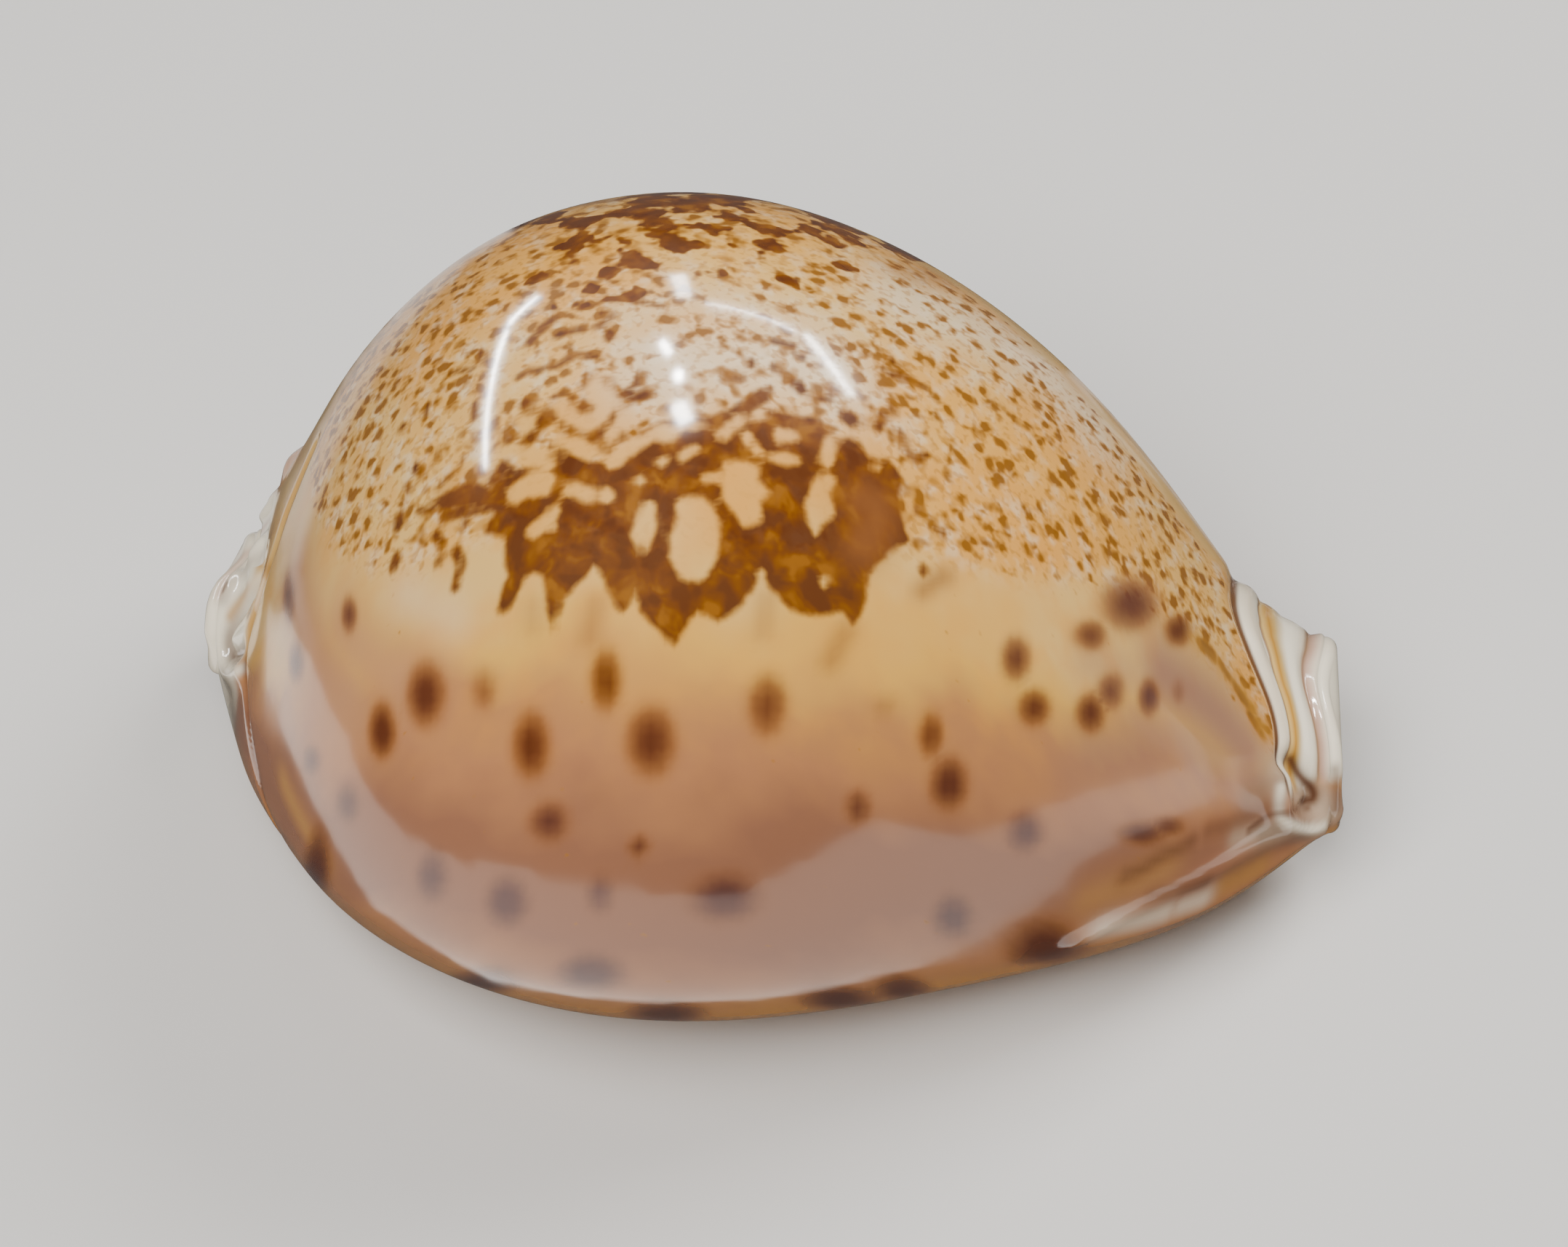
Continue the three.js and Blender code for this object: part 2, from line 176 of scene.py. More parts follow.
# one closed loop round every section: heights, widths, and what each point is
def loopAt(t, q):
    form = shellForm
    share = (smooth((t - 0.1) / 0.2) * smooth((0.93 - t) / 0.22))[:, None]  # 0 canals, 1 chamber
    u = np.linspace(0, 1, form["nearSteps"])  # closest together where the near blotch is
    nearDeg = np.interp(u, (0, 0.14, 0.22, 0.38, 0.55, 1), (-90, -66, -30, 20, 50, 90))
    u = np.linspace(0, 1, form["farSteps"])
    farDeg = np.interp(u, (0, 0.16, 0.3, 0.45, 1), (-90, -60, -20, 30, 90))
    cavityDeg = np.linspace(-90, 90, form["cavitySteps"] + 1)[1:]
    lipDeg = np.linspace(0, 90, 9)[1:]
    floor = mix(form["canalFloor"], form["baseThickness"], share)
    roof = mix(q["height"] * form["canalRoof"], q["height"] - form["dorsumThickness"], share)
    innerLevel = mix(mix(floor, roof, 0.5), np.maximum(q["level"], floor + 3), share)
    zero = 0 * q["height"]
    halves = []
    for side, sign in ((0, -1), (1, 1)):
        edge = q["slit"] + sign * q["slitHalf"]
        yLip = edge + sign * form["lipRadius"]
        outerDeg = (nearDeg, farDeg)[side]
        outer = halfCurve(outerDeg, yLip, q["centre"], q["margins"][side], zero, q["level"], q["height"])
        a = np.radians(lipDeg)[None]
        radius = form["lipRadius"]
        lip = (edge + sign * radius * (1 - np.sin(a)), radius * (1 - np.cos(a)) + zero)
        wall = (np.repeat(edge, 4, 1), mix(form["lipRadius"], floor, np.array([0.3, 0.6, 0.85, 1.0])[None]))
        margin = mix(edge + sign * 0.3, q["margins"][side] - sign * form["sideThickness"], share)
        top = mix(q["slit"], q["centre"], share)
        inner = halfCurve(cavityDeg, edge, top, margin, floor, innerLevel, roof)
        parts = [
            ("outer", outer, outerDeg), ("lip", lip, lipDeg), ("wall", wall, np.zeros(4)),
            ("inner", inner, cavityDeg),
        ]
        halves.append({name: (y, h, deg) for name, (y, h), deg in parts})
    order = []
    for name, side, backwards, drop in (
        ("outer", 0, False, 0), ("outer", 1, True, 1), ("lip", 1, False, 0), ("wall", 1, False, 0),
        ("inner", 1, False, 0), ("inner", 0, True, 1), ("wall", 0, True, 0), ("lip", 0, True, 0),
    ):
        y, h, deg = halves[side][name]
        if backwards:
            y, h, deg = y[:, ::-1], h[:, ::-1], deg[::-1]
        order.append((y[:, drop:], h[:, drop:], deg[drop:], name, side))
    y = np.concatenate([o[0] for o in order], 1)
    h = np.concatenate([o[1] for o in order], 1)
    deg = np.concatenate([o[2] for o in order])
    kind = np.concatenate([[o[3]] * len(o[2]) for o in order])
    side = np.concatenate([[o[4]] * len(o[2]) for o in order])
    return y, h, deg, kind, side


# the path with its corners cut off twice, its ends kept
def rounded(path):
    path = np.array(path, float)
    for _ in range(2):
        if len(path) > 2:
            cut = np.stack([mix(path[:-1], path[1:], 0.25), mix(path[:-1], path[1:], 0.75)], 1)
            path = np.concatenate([path[:1], cut.reshape(-1, path.shape[1])[1:-1], path[-1:]])
    return path


# distance in mm from a path of points
def pathDistance(at, path):
    nearest = np.linalg.norm(at - np.array(path[0]), axis=-1)
    for a, b in zip(np.array(path[:-1]), np.array(path[1:])):
        edge = b - a
        share = np.clip((at - a) @ edge / (edge @ edge), 0, 1)
        nearest = np.minimum(nearest, np.linalg.norm(at - a - share[..., None] * edge, axis=-1))
    return nearest


# degrees run on over the back: -90 outer lip, 0 outer margin, 90 back, 180 inner margin, 270 inner lip
def turnOf(deg, side):
    return np.where(side == 0, deg, 180 - deg)


# place on the collar: 0 on the dark line that parts it from the body, 1 at the siphon end
def collarPlace(t, turn):
    line = mix(shellForm["collarFar"], shellForm["collarNear"], smooth((114 - turn) / 64))
    return (t - line) / (1 - line)


# several ridges and grooves side by side
def ridges(x, rows):
    return sum(height * hump(x, place, width) for height, place, width in rows)


# 1 in the middle of a gap between teeth, 0 on a tooth; reach is how far out of the slit it goes, in degrees
def toothGaps(baseX, deg, kind, side, reach):
    form = shellForm
    share = (baseX - form["teethFrom"]) / (form["teethTo"] - form["teethFrom"])
    phase = share * form["teethPerLip"] + np.where(side == 0, 0, 0.5)
    toothed = smooth((baseX - form["teethFrom"] + 1) / 2) * smooth((form["teethTo"] + 1 - baseX) / 2)
    near = np.where(kind == "outer", 1 - smooth((deg + 90) / reach), 1)
    return toothed * near * (0.5 + 0.5 * np.cos(2 * np.pi * phase))


# relief along the outward normal: teeth, collar bands, flange ribs, bevel and creases
def relief(t, deg, kind, side, at, baseX):
    form = shellForm
    t = t[:, None]
    turn = turnOf(deg, side)[None]
    outer = (kind == "outer")[None]
    lip = (kind == "lip")[None]
    d = -form["toothHeight"] * toothGaps(baseX, deg, kind, side, form["toothReach"]) * (outer | lip)
    bands = ridges(collarPlace(t, turn), form["collarRidges"]) * smooth((turn - 24) / 16)
    ribs = ridges(t, form["flangeRidges"]) * smooth((turn - 60) / 30)
    d = d + (bands + ribs) * smooth((252 - turn) / 30) * outer
    bevelled = smooth((t - 0.56) / 0.28) * smooth((1.02 - t) / 0.06)
    d = d + bevelled * ridges(deg[None], form["marginBevel"]) * (outer & (side == 0)[None])
    for height, reach, path in form["creases"].values():
        d = d + height * hump(pathDistance(at, rounded(path)), 0, reach) * outer
    return d


def crossUnit(a, b):
    n = np.cross(a, b)
    return n / np.maximum(np.linalg.norm(n, axis=-1, keepdims=True), 1e-9)


# every point of the shell in mm, as rows by loop points, with the two rounded rims
def shellPoints():
    form = shellForm
    u = np.linspace(0, 1, form["rowsAlong"])
    t = u - form["endCrowding"] * np.sin(2 * np.pi * u)
    q = sectionAt(t)
    y, h, deg, kind, side = loopAt(t, q)
    notch = 1.5 * smooth((0.14 - t) / 0.14)[:, None] * smooth((y - q["slit"] + 3.5) / 5)
    notch = notch - 0.8 * smooth((t - 0.88) / 0.12)[:, None] * hump(y, q["slit"], 3.6)
    at = np.stack([q["baseX"] + h * q["upX"] + notch, y, q["baseZ"] + h * q["upZ"]], 2)
    along = np.gradient(at, axis=0)
    around = np.roll(at, -1, 1) - np.roll(at, 1, 1)
    normal = crossUnit(along, around)
    at = at + normal * relief(t, deg, kind, side, at, q["baseX"])[..., None]
    under = (kind == "outer") | (kind == "lip")
    at[:, under, 2] = np.maximum(at[:, under, 2], form["seatLevel"])

    def rim(ring, row, outward, degrees):
        axis = np.array([q["upZ"][row, 0], 0, -q["upX"][row, 0]])
        chord = np.roll(ring, -1, 0) - np.roll(ring, 1, 0)
        inward = crossUnit(chord, axis[None])
        a = math.radians(degrees)
        return ring + form["rimRadius"] * ((1 - math.cos(a)) * inward + outward * math.sin(a) * axis)

    steps = (85, 68, 51, 34, 17)
    head = [rim(at[0], 0, -1, a) for a in steps]
    tail = [rim(at[-1], -1, 1, a) for a in steps[::-1]]
    points = np.concatenate([np.array(head), at, np.array(tail)])
    rowT = np.concatenate([np.zeros(5), t, np.ones(5)])
    return points, rowT, deg, kind, side


points, rowT, loopDeg, loopKind, loopSide = shellPoints()
rowCount, loopCount = points.shape[:2]
low, high = points.reshape(-1, 3).min(0), points.reshape(-1, 3).max(0)
shift = np.array([-(low[0] + high[0]) / 2, -(low[1] + high[1]) / 2, -low[2]])
points = points + shift
cadSize = (np.array(cadBox[1]) - np.array(cadBox[0])) / mm
fit = min(1.0, float(np.min(cadSize / (high - low)))) * 0.9998
points = points * fit
print("shell size, mm:", np.round((high - low) * fit, 2).tolist())
print("solid size, mm:", np.round(cadSize, 2).tolist(), "fit:", round(fit, 4))


# the photograph's camera, in mm and in pixels of the whole picture
photoCamera = {
    "width": 2156,
    "height": 1714,
    "yaw": 3.06,
    "elevation": 49.0,
    "distance": 300.0,
    "target": (0.25, -0.1, 21.6),
    "pixelsPerMm": 19.29,
    "offset": (-22.0, -23.4),
}


def cameraAxes():
    a, e = math.radians(photoCamera["yaw"]), math.radians(photoCamera["elevation"])
    back = np.array([math.sin(a) * math.cos(e), -math.cos(a) * math.cos(e), math.sin(e)])
    right = np.array([math.cos(a), math.sin(a), 0])
    return right, np.cross(back, right), back


def makeCamera():
    back = cameraAxes()[2]
    data = bpy.data.cameras.new("camera")
    data.sensor_fit = "HORIZONTAL"
    data.sensor_width = 36
    data.lens = 36 * photoCamera["pixelsPerMm"] * photoCamera["distance"] / photoCamera["width"]
    data.shift_x = -photoCamera["offset"][0] / photoCamera["width"]
    data.shift_y = photoCamera["offset"][1] / photoCamera["width"]
    data.clip_start = 0.01
    data.clip_end = 10
    camera = bpy.data.objects.new("camera", data)
    bpy.context.scene.collection.objects.link(camera)
    target = Vector(photoCamera["target"])
    camera.location = (target + Vector(back) * photoCamera["distance"]) * mm
    camera.rotation_euler = Vector(back).to_track_quat("Z", "Y").to_euler()
    bpy.context.scene.camera = camera


makeCamera()


def sideFaces():
    i, j = np.meshgrid(np.arange(rowCount - 1), np.arange(loopCount), indexing="ij")
    k = (j + 1) % loopCount
    here, after = i * loopCount, (i + 1) * loopCount
    return np.stack([here + j, after + j, after + k, here + k], -1).reshape(-1, 4).tolist()


# the flat C that closes an end, in the plane of its section
def endFaces(row, section):
    up = Vector((float(section["upX"][row, 0]), 0, float(section["upZ"][row, 0])))
    flat = [Vector((p[1], Vector(p).dot(up), 0)) for p in points[row].tolist()]
    start = (row % rowCount) * loopCount
    faces = []
    for a, b, c in tessellate_polygon([flat]):
        turn = (flat[b] - flat[a]).cross(flat[c] - flat[a]).z
        faces.append([start + n for n in ((a, b, c) if (turn > 0) == (row < 0) else (a, c, b))])
    return faces


def makeShellMesh():
    mesh = bpy.data.meshes.new("cowrieShell")
    section = sectionAt(rowT)
    faces = sideFaces() + endFaces(0, section) + endFaces(-1, section)
    mesh.from_pydata((points.reshape(-1, 3) * mm).tolist(), [], faces)
    mesh.update()
    mesh.polygons.foreach_set("use_smooth", [True] * len(mesh.polygons))
    obj = bpy.data.objects.new("cowrieShell", mesh)
    bpy.context.scene.collection.objects.link(obj)
    return obj


shell = makeShellMesh()
print("shell mesh:", len(shell.data.polygons), "faces")
tree = BVHTree.FromPolygons(points.reshape(-1, 3).tolist(), sideFaces())


# the camera's line through a picture pixel
def lineThrough(px, py):
    right, up, back = cameraAxes()
    eye = np.array(photoCamera["target"]) + back * photoCamera["distance"]
    focal = photoCamera["pixelsPerMm"] * photoCamera["distance"]
    u = (px - photoCamera["width"] / 2 - photoCamera["offset"][0]) / focal
    v = -(py - photoCamera["height"] / 2 - photoCamera["offset"][1]) / focal
    return Vector(eye), Vector(right * u + up * v - back).normalized()


# the point of the shell seen at a picture pixel, or the nearest one where the pixel lies past its outline
def findPoint(px, py):
    eye, ray = lineThrough(px, py)
    hit = tree.ray_cast(eye, ray)
    if hit[0] is not None:
        return np.array(hit[0]), divmod(int(hit[2]), loopCount)
    off = points - np.array(eye)
    depth = off @ np.array(ray)
    gap = np.linalg.norm(off - depth[..., None] * np.array(ray), axis=2)
    row, column = np.unravel_index(np.argmin(gap), gap.shape)
    row, column = min(row, rowCount - 2), int(column)
    return points[row, column], (int(row), column)


# the same place on the skin, in mm
def findOnSkin(px, py):
    spot, (row, column) = findPoint(px, py)
    beside = (column + 1) % loopCount
    here = points[row, column]
    edges = np.stack([points[row + 1, column] - here, points[row, beside] - here], 1)
    share = np.linalg.lstsq(edges, spot - here, rcond=None)[0]
    start = skin[row, column]
    return start + share[0] * (skin[row + 1, column] - start) + share[1] * (skin[row, beside] - start)


# the skin's own flat measure in mm: along the shell from its middle, and round it from the back
def measureSkin():
    along = np.linalg.norm(np.diff(points, axis=0), axis=2)
    s = np.concatenate([np.zeros((1, loopCount)), np.cumsum(along, 0)])
    middle = int(np.argmin(np.abs(rowT - 0.52)))
    s = s - s[middle:middle + 1]
    outer = np.where(loopKind == "outer")[0]
    top = outer[np.argmax(loopDeg[outer])]
    around = np.linalg.norm(np.diff(points, axis=1), axis=2)
    g = np.concatenate([np.zeros((rowCount, 1)), np.cumsum(around, 1)], 1)
    g = g - g[:, top:top + 1]
    return np.stack([s, g], 2)


skin = measureSkin()
print("skin measured")

# markings placed in pixels of the photograph (2156 x 1714)
markings = {
    # the big dark blotch's outline, and the pale gaps in it
    "blotch": [
        (590, 690), (650, 660), (682, 676), (706, 648), (742, 640), (766, 624), (782, 622), (812, 636),
        (842, 634), (872, 628), (884, 590), (912, 576), (962, 576), (1002, 564), (1042, 534), (1062, 530),
        (1060, 548), (1042, 560), (1092, 570), (1128, 576), (1152, 604), (1178, 600), (1196, 630),
        (1226, 634), (1242, 660), (1236, 682), (1246, 742), (1222, 762), (1196, 786), (1188, 838),
        (1174, 860), (1158, 842), (1122, 846), (1092, 842), (1062, 812), (1046, 786), (1036, 810),
        (1012, 842), (986, 856), (962, 836), (942, 866), (923, 894), (906, 866), (880, 842), (876, 812),
        (860, 842), (850, 842), (832, 802), (820, 776), (806, 792), (776, 822), (768, 852), (763, 880),
        (756, 856), (750, 822), (746, 792), (726, 786), (706, 832), (688, 848), (682, 836), (698, 792),
        (692, 760), (696, 740), (680, 736), (666, 730), (680, 706), (660, 696), (610, 702),
    ],
    "gaps": [
        [(930, 685), (960, 680), (978, 690), (990, 720), (988, 760), (975, 790), (955, 803), (935, 795),
         (921, 765), (922, 740), (930, 715)],
        [(995, 635), (1030, 632), (1045, 640), (1042, 660), (1060, 675), (1045, 690), (1050, 715),
         (1025, 728), (1010, 705), (995, 685), (990, 660)],
        [(1125, 650), (1150, 655), (1142, 680), (1150, 710), (1130, 720), (1120, 738), (1110, 720),
         (1105, 695), (1115, 670)],
        [(880, 690), (900, 688), (905, 720), (890, 760), (878, 763), (868, 735), (875, 710)],
        [(787, 677), (797, 667), (808, 677), (797, 688)],
        [(820, 681), (831, 670), (843, 681), (831, 693)],
        [(760, 692), (765, 730), (730, 730)],
        [(732, 655), (760, 650), (757, 680), (725, 685), (705, 680)],
        [(835, 640), (870, 615), (880, 612), (855, 640)],
        [(905, 605), (920, 590), (935, 605), (915, 610)],
        [(1020, 600), (1032, 597), (1045, 615), (1035, 625)],
        [(1065, 595), (1090, 590), (1095, 600), (1065, 610)],
        [(1060, 632), (1100, 627), (1102, 638), (1075, 642)],
        [(960, 652), (995, 650), (992, 662), (965, 662)],
        [(1125, 790), (1142, 792), (1140, 810), (1130, 808)],
    ],
    # brown strands round the blotch and pale holes in it: half width in mm, path
    "strands": [
        (0.5, [(724, 552), (725, 566)]), (0.4, [(752, 566), (780, 588), (792, 598)]),
        (0.42, [(798, 556), (808, 564), (820, 565)]), (0.22, [(758, 546), (780, 540), (796, 556)]),
        (0.36, [(854, 540), (872, 548), (896, 540)]),
        (0.3, [(854, 546), (848, 568), (836, 584), (824, 596)]), (0.45, [(816, 600), (829, 593)]),
        (0.36, [(829, 600), (834, 620)]), (0.42, [(752, 566), (740, 588), (731, 602), (720, 610)]),
        (0.3, [(702, 580), (697, 607), (708, 600)]), (0.24, [(758, 614), (788, 629)]),
        (0.4, [(689, 642), (716, 652), (740, 652)]),
        (0.45, [(694, 640), (681, 656), (692, 672), (686, 696)]),
        (0.2, [(640, 624), (628, 648), (600, 672)]), (0.5, [(676, 724), (690, 704)]),
        (0.42, [(700, 688), (720, 698), (728, 720), (700, 716)]),
        (0.36, [(728, 716), (745, 704), (760, 688)]), (0.5, [(884, 796), (900, 760), (920, 728)]),
        (0.42, [(860, 597), (853, 600)]), (0.4, [(836, 524), (836, 530)]),
        (0.4, [(881, 514), (878, 526)]), (0.42, [(598, 736), (607, 750)]),
        (0.36, [(602, 772), (602, 774)]), (0.42, [(626, 756), (634, 776), (626, 808)]),
        (0.3, [(638, 720), (638, 722)]), (0.55, [(548, 712), (548, 722)]),
        (0.5, [(546, 766), (541, 778)]), (0.26, [(574, 702), (592, 700)]),
        (0.36, [(612, 710), (634, 704), (660, 701)]), (0.42, [(998, 514), (998, 520)]),
        (0.24, [(1024, 514), (1018, 523)]), (0.36, [(1030, 497), (1031, 501)]),
        (0.42, [(1067, 507), (1069, 510)]), (0.5, [(1094, 527), (1099, 533)]),
        (0.42, [(1142, 534), (1148, 538)]), (0.62, [(1164, 572), (1172, 576)]),
        (0.42, [(1214, 570), (1206, 588)]), (0.34, [(1230, 558), (1229, 565)]),
        (0.4, [(1240, 596), (1243, 616)]), (0.3, [(1242, 618), (1256, 631), (1274, 626)]),
        (0.28, [(1220, 488), (1240, 514), (1260, 527), (1274, 534)]), (0.3, [(1216, 508), (1236, 522)]),
        (0.26, [(1120, 546), (1140, 550)]), (0.3, [(1060, 468), (1092, 476)]),
        (0.3, [(1096, 490), (1104, 492)]), (0.26, [(764, 504), (788, 488), (820, 490)]),
        (0.26, [(712, 518), (726, 510)]), (0.26, [(736, 512), (748, 506)]),
        (0.36, [(808, 516), (810, 528)]), (0.3, [(660, 484), (668, 498)]),
        (0.22, [(620, 512), (648, 508)]), (0.3, [(652, 556), (652, 574)]),
        (0.3, [(636, 596), (634, 600)]), (0.26, [(588, 556), (584, 574)]),
        (0.3, [(602, 624), (602, 630)]), (0.3, [(570, 640), (584, 656)]), (0.3, [(558, 668), (564, 674)]),
        (0.3, [(556, 584), (550, 590)]), (0.36, [(1236, 736), (1244, 740)]),
        (0.3, [(1288, 728), (1298, 732)]), (0.36, [(1266, 698), (1265, 704)]),
        (0.3, [(1268, 786), (1274, 780)]),
        (0.26, [(724, 394), (748, 369), (769, 359), (793, 342), (818, 335), (842, 325)]),
        (0.29, [(842, 325), (866, 331), (897, 333), (928, 340), (983, 338)]),
        (0.36, [(856, 342), (873, 354)]), (0.24, [(876, 356), (900, 368), (921, 359)]),
        (0.29, [(835, 371), (836, 378)]), (0.24, [(852, 384), (857, 386)]),
        (0.24, [(869, 393), (878, 395)]), (0.24, [(808, 401), (814, 402)]),
        (0.27, [(783, 418), (800, 424), (824, 413), (856, 411)]),
        (0.21, [(869, 414), (890, 417), (914, 421)]), (0.28, [(829, 430), (833, 431)]),
        (0.3, [(842, 436), (845, 430)]), (0.3, [(765, 461), (804, 451)]), (0.3, [(824, 446), (827, 448)]),
        (0.4, [(728, 470), (745, 452), (762, 438)]), (0.4, [(837, 458), (838, 464)]),
        (0.27, [(738, 349), (759, 342), (790, 333), (814, 325)]),
        (0.28, [(911, 297), (956, 314), (1010, 310)]), (0.27, [(1020, 330), (1060, 334), (1100, 350)]),
        (0.24, [(1130, 352), (1180, 372)]), (0.22, [(1040, 372), (1080, 380)]),
        (0.22, [(960, 372), (990, 380)]), (0.32, [(880, 302), (890, 322), (960, 335), (985, 322)]),
        (0.24, [(1010, 325), (1040, 345)]), (0.5, [(1650, 885), (1668, 900)]),
        (0.4, [(1680, 915), (1690, 930)]), (0.45, [(1700, 945), (1713, 965)]),
        (0.4, [(1720, 985), (1733, 1006)]),
    ],
    "holes": [
        (0.62, [(905, 596), (920, 595)]), (0.26, [(940, 586), (965, 585)]),
        (0.42, [(841, 637), (860, 623), (886, 605)]), (0.36, [(956, 618), (937, 627)]),
        (0.4, [(993, 599), (1020, 577)]), (0.42, [(1044, 569), (1046, 571)]),
        (0.4, [(1027, 600), (1038, 619)]), (0.5, [(1072, 597), (1089, 600)]),
        (0.4, [(1064, 631), (1091, 632)]), (0.3, [(907, 634), (913, 634)]),
        (0.32, [(875, 661), (882, 662)]), (0.5, [(1143, 606), (1136, 632)]),
        (0.36, [(1198, 608), (1202, 622)]), (0.26, [(1199, 642), (1205, 642)]),
        (0.3, [(1045, 788), (1054, 812)]), (0.34, [(716, 574), (728, 586)]),
        (0.5, [(770, 562), (786, 574), (800, 580)]), (0.62, [(820, 532), (836, 556), (816, 582)]),
        (0.5, [(776, 608), (812, 620)]), (0.5, [(860, 570), (844, 596)]), (0.5, [(740, 634), (754, 640)]),
        (0.8, [(712, 677), (732, 665), (748, 662)]), (0.55, [(734, 730), (752, 716), (759, 704)]),
        (0.3, [(708, 616), (732, 624)]), (0.5, [(784, 672), (809, 680)]), (0.5, [(829, 679), (835, 683)]),
    ],
    # lowest edge of the netting, from the spire end to the siphon end
    "netEdge": [
        (415, 640), (440, 740), (500, 790), (580, 790), (660, 745), (760, 760), (900, 780), (1050, 780),
        (1200, 760), (1300, 780), (1400, 800), (1500, 805), (1590, 850), (1660, 910), (1710, 980),
        (1745, 1040),
    ],
    # spots: x, y, width, height, strength, share of violet in them
    "spots": [
        (480, 845, 20, 46, 0.75, 0.5), (525, 1005, 32, 66, 0.95, 0.1), (585, 955, 46, 76, 0.9, 0.2),
        (665, 948, 40, 62, 0.45, 0.2), (730, 1025, 46, 80, 0.85, 0.1), (833, 935, 38, 76, 0.8, 0.0),
        (895, 1020, 60, 84, 0.85, 0.2), (1055, 970, 50, 78, 0.7, 0.2), (755, 1130, 52, 50, 0.8, 0.5),
        (878, 1165, 30, 34, 0.7, 0.4), (1180, 1110, 34, 46, 0.7, 0.4), (1280, 1010, 32, 60, 0.7, 0.1),
        (1305, 1078, 46, 64, 0.9, 0.3), (1397, 905, 36, 56, 0.8, 0.4), (1422, 973, 40, 46, 0.8, 0.2),
        (1500, 873, 44, 40, 0.7, 0.4), (1620, 866, 34, 40, 0.8, 0.2), (1500, 980, 36, 50, 0.85, 0.3),
        (1528, 950, 36, 50, 0.7, 0.5), (1580, 958, 26, 46, 0.85, 0.5), (1620, 950, 22, 40, 0.4, 0.8),
        (1410, 1145, 50, 54, 0.85, 0.85), (1310, 1260, 54, 58, 0.9, 0.85), (997, 1235, 90, 60, 0.95, 0.7),
        (825, 1230, 42, 54, 0.75, 0.85), (697, 1240, 58, 66, 0.95, 0.85), (594, 1205, 46, 68, 0.85, 0.85),
        (478, 1105, 34, 56, 0.75, 0.85), (812, 1338, 84, 46, 0.95, 0.85), (428, 1045, 24, 40, 0.7, 0.9),
        (407, 910, 20, 50, 0.8, 0.8), (397, 820, 16, 66, 0.7, 0.8), (1555, 830, 70, 66, 0.8, 0.6),
        (435, 1195, 32, 60, 0.95, 0.2), (665, 1350, 74, 28, 0.95, 0.2), (915, 1394, 90, 24, 0.95, 0.2),
        (1155, 1374, 90, 24, 0.95, 0.2), (1240, 1360, 66, 26, 0.9, 0.2), (1440, 1305, 96, 44, 0.95, 0.2),
        (1570, 1145, 60, 30, 0.85, 0.3), (1605, 1135, 46, 28, 0.7, 0.3),
    ],
    # brush strokes on the ends and the margin, by colour: width in mm, strength, path or name of a crease
    "strokes": {
        "dark": [
            (0.5, 0.95, [(1774, 1044), (1786, 1067), (1805, 1083), (1807, 1099), (1791, 1101)]),
            (0.4, 0.75, [(1717, 1141), (1743, 1120), (1775, 1115), (1797, 1109)]),
            (0.5, 0.6, [(1836, 1058), (1838, 1112)]),
            (0.6, 0.35, [(374, 733), (345, 766), (322, 796), (308, 824)]),
            (0.9, 0.5, [(1663, 1139), (1695, 1131), (1727, 1118), (1754, 1110)]),
            (0.7, 0.45, [(1583, 1232), (1621, 1223), (1659, 1211)]),
            (0.8, 0.55, [(1548, 1204), (1569, 1196), (1594, 1179), (1621, 1166), (1638, 1156)]),
            (0.6, 0.95, "foldGroove"),
            (0.35, 0.7, [(307, 811), (312, 802)]),
            (0.35, 0.9, [(345, 838), (341, 846)]),
            (0.5, 0.9, "spireLine"),
        ],
        # grey strokes: painted shade low on the spire end and under the hook ridge on the siphon end
        "greyShade": [
            (2.2, 0.85, [(316, 947), (320, 979)]),
            (1.4, 0.45, [(1716, 1095), (1743, 1084), (1756, 1070)]),
            (1.1, 0.6, [(1737, 1148), (1769, 1143), (1800, 1143)]),
        ],
        "amber": [
            (1.3, 0.45, [(1684, 1215), (1710, 1202), (1731, 1192)]),
            (0.6, 0.7, [(368, 779), (347, 804), (331, 825), (316, 846)]),
            (0.9, 0.5, [(1642, 878), (1695, 930), (1727, 983), (1737, 1006)]),
        ],
        "plum": [
            (0.5, 0.7, [(1530, 555), (1570, 605), (1615, 665), (1665, 725)]),
            (0.4, 0.5, [(1690, 760), (1745, 830)]),
            (0.6, 0.55, [(690, 300), (760, 284), (850, 275)]),
        ],
        "rose": [
            (0.8, 0.7, [(362, 726), (337, 758), (316, 787), (305, 813)]),
            (0.6, 0.5, [(400, 632), (398, 648)]),
        ],
        "pale": [
            (1.3, 0.5, [(1520, 1278), (1569, 1265), (1600, 1255)]),
            (1.1, 0.45, [(1625, 1246), (1653, 1236)]),
            (0.4, 0.75, [(1762, 1083), (1757, 1109), (1761, 1125), (1781, 1136), (1805, 1141), (1821, 1136)]),
            (0.45, 0.85, [(362, 747), (326, 796), (303, 842), (299, 884), (310, 920), (322, 926),
                          (335, 918)]),
            (0.7, 0.6, [(358, 796), (343, 825), (328, 863), (326, 895)]),
        ],
    },
    # soft washes, under the netting except the haze, by colour: width in mm, strength, path
    "washes": {
        # milk washes: a whitish painted sheen, a painted reflection of soft light on the upper back
        "milkAndSheen": [
            (4.0, 0.7, [(900, 510), (1000, 490), (1140, 510)]),
            (2.0, 0.35, [(860, 430), (1000, 420), (1120, 440)]),
            (1.6, 0.25, [(1190, 560), (1240, 600)]),
            (3.8, 0.65, [(1240, 410), (1400, 480), (1500, 580)]),
            (2.0, 0.3, [(560, 820), (620, 850)]),
        ],
        "yellow": [
            (3.2, 0.6, [(830, 900), (960, 900), (1120, 910), (1230, 880)]),
            (2.6, 0.6, [(1260, 850), (1380, 850)]),
            (3.0, 0.4, [(1300, 560), (1500, 700), (1620, 800)]),
            (1.6, 0.5, [(1180, 930), (1190, 870), (1215, 800)]),
            (1.8, 0.25, [(1500, 1236), (1600, 1192)]),
            (1.5, 0.4, [(392, 1080), (440, 1170)]),
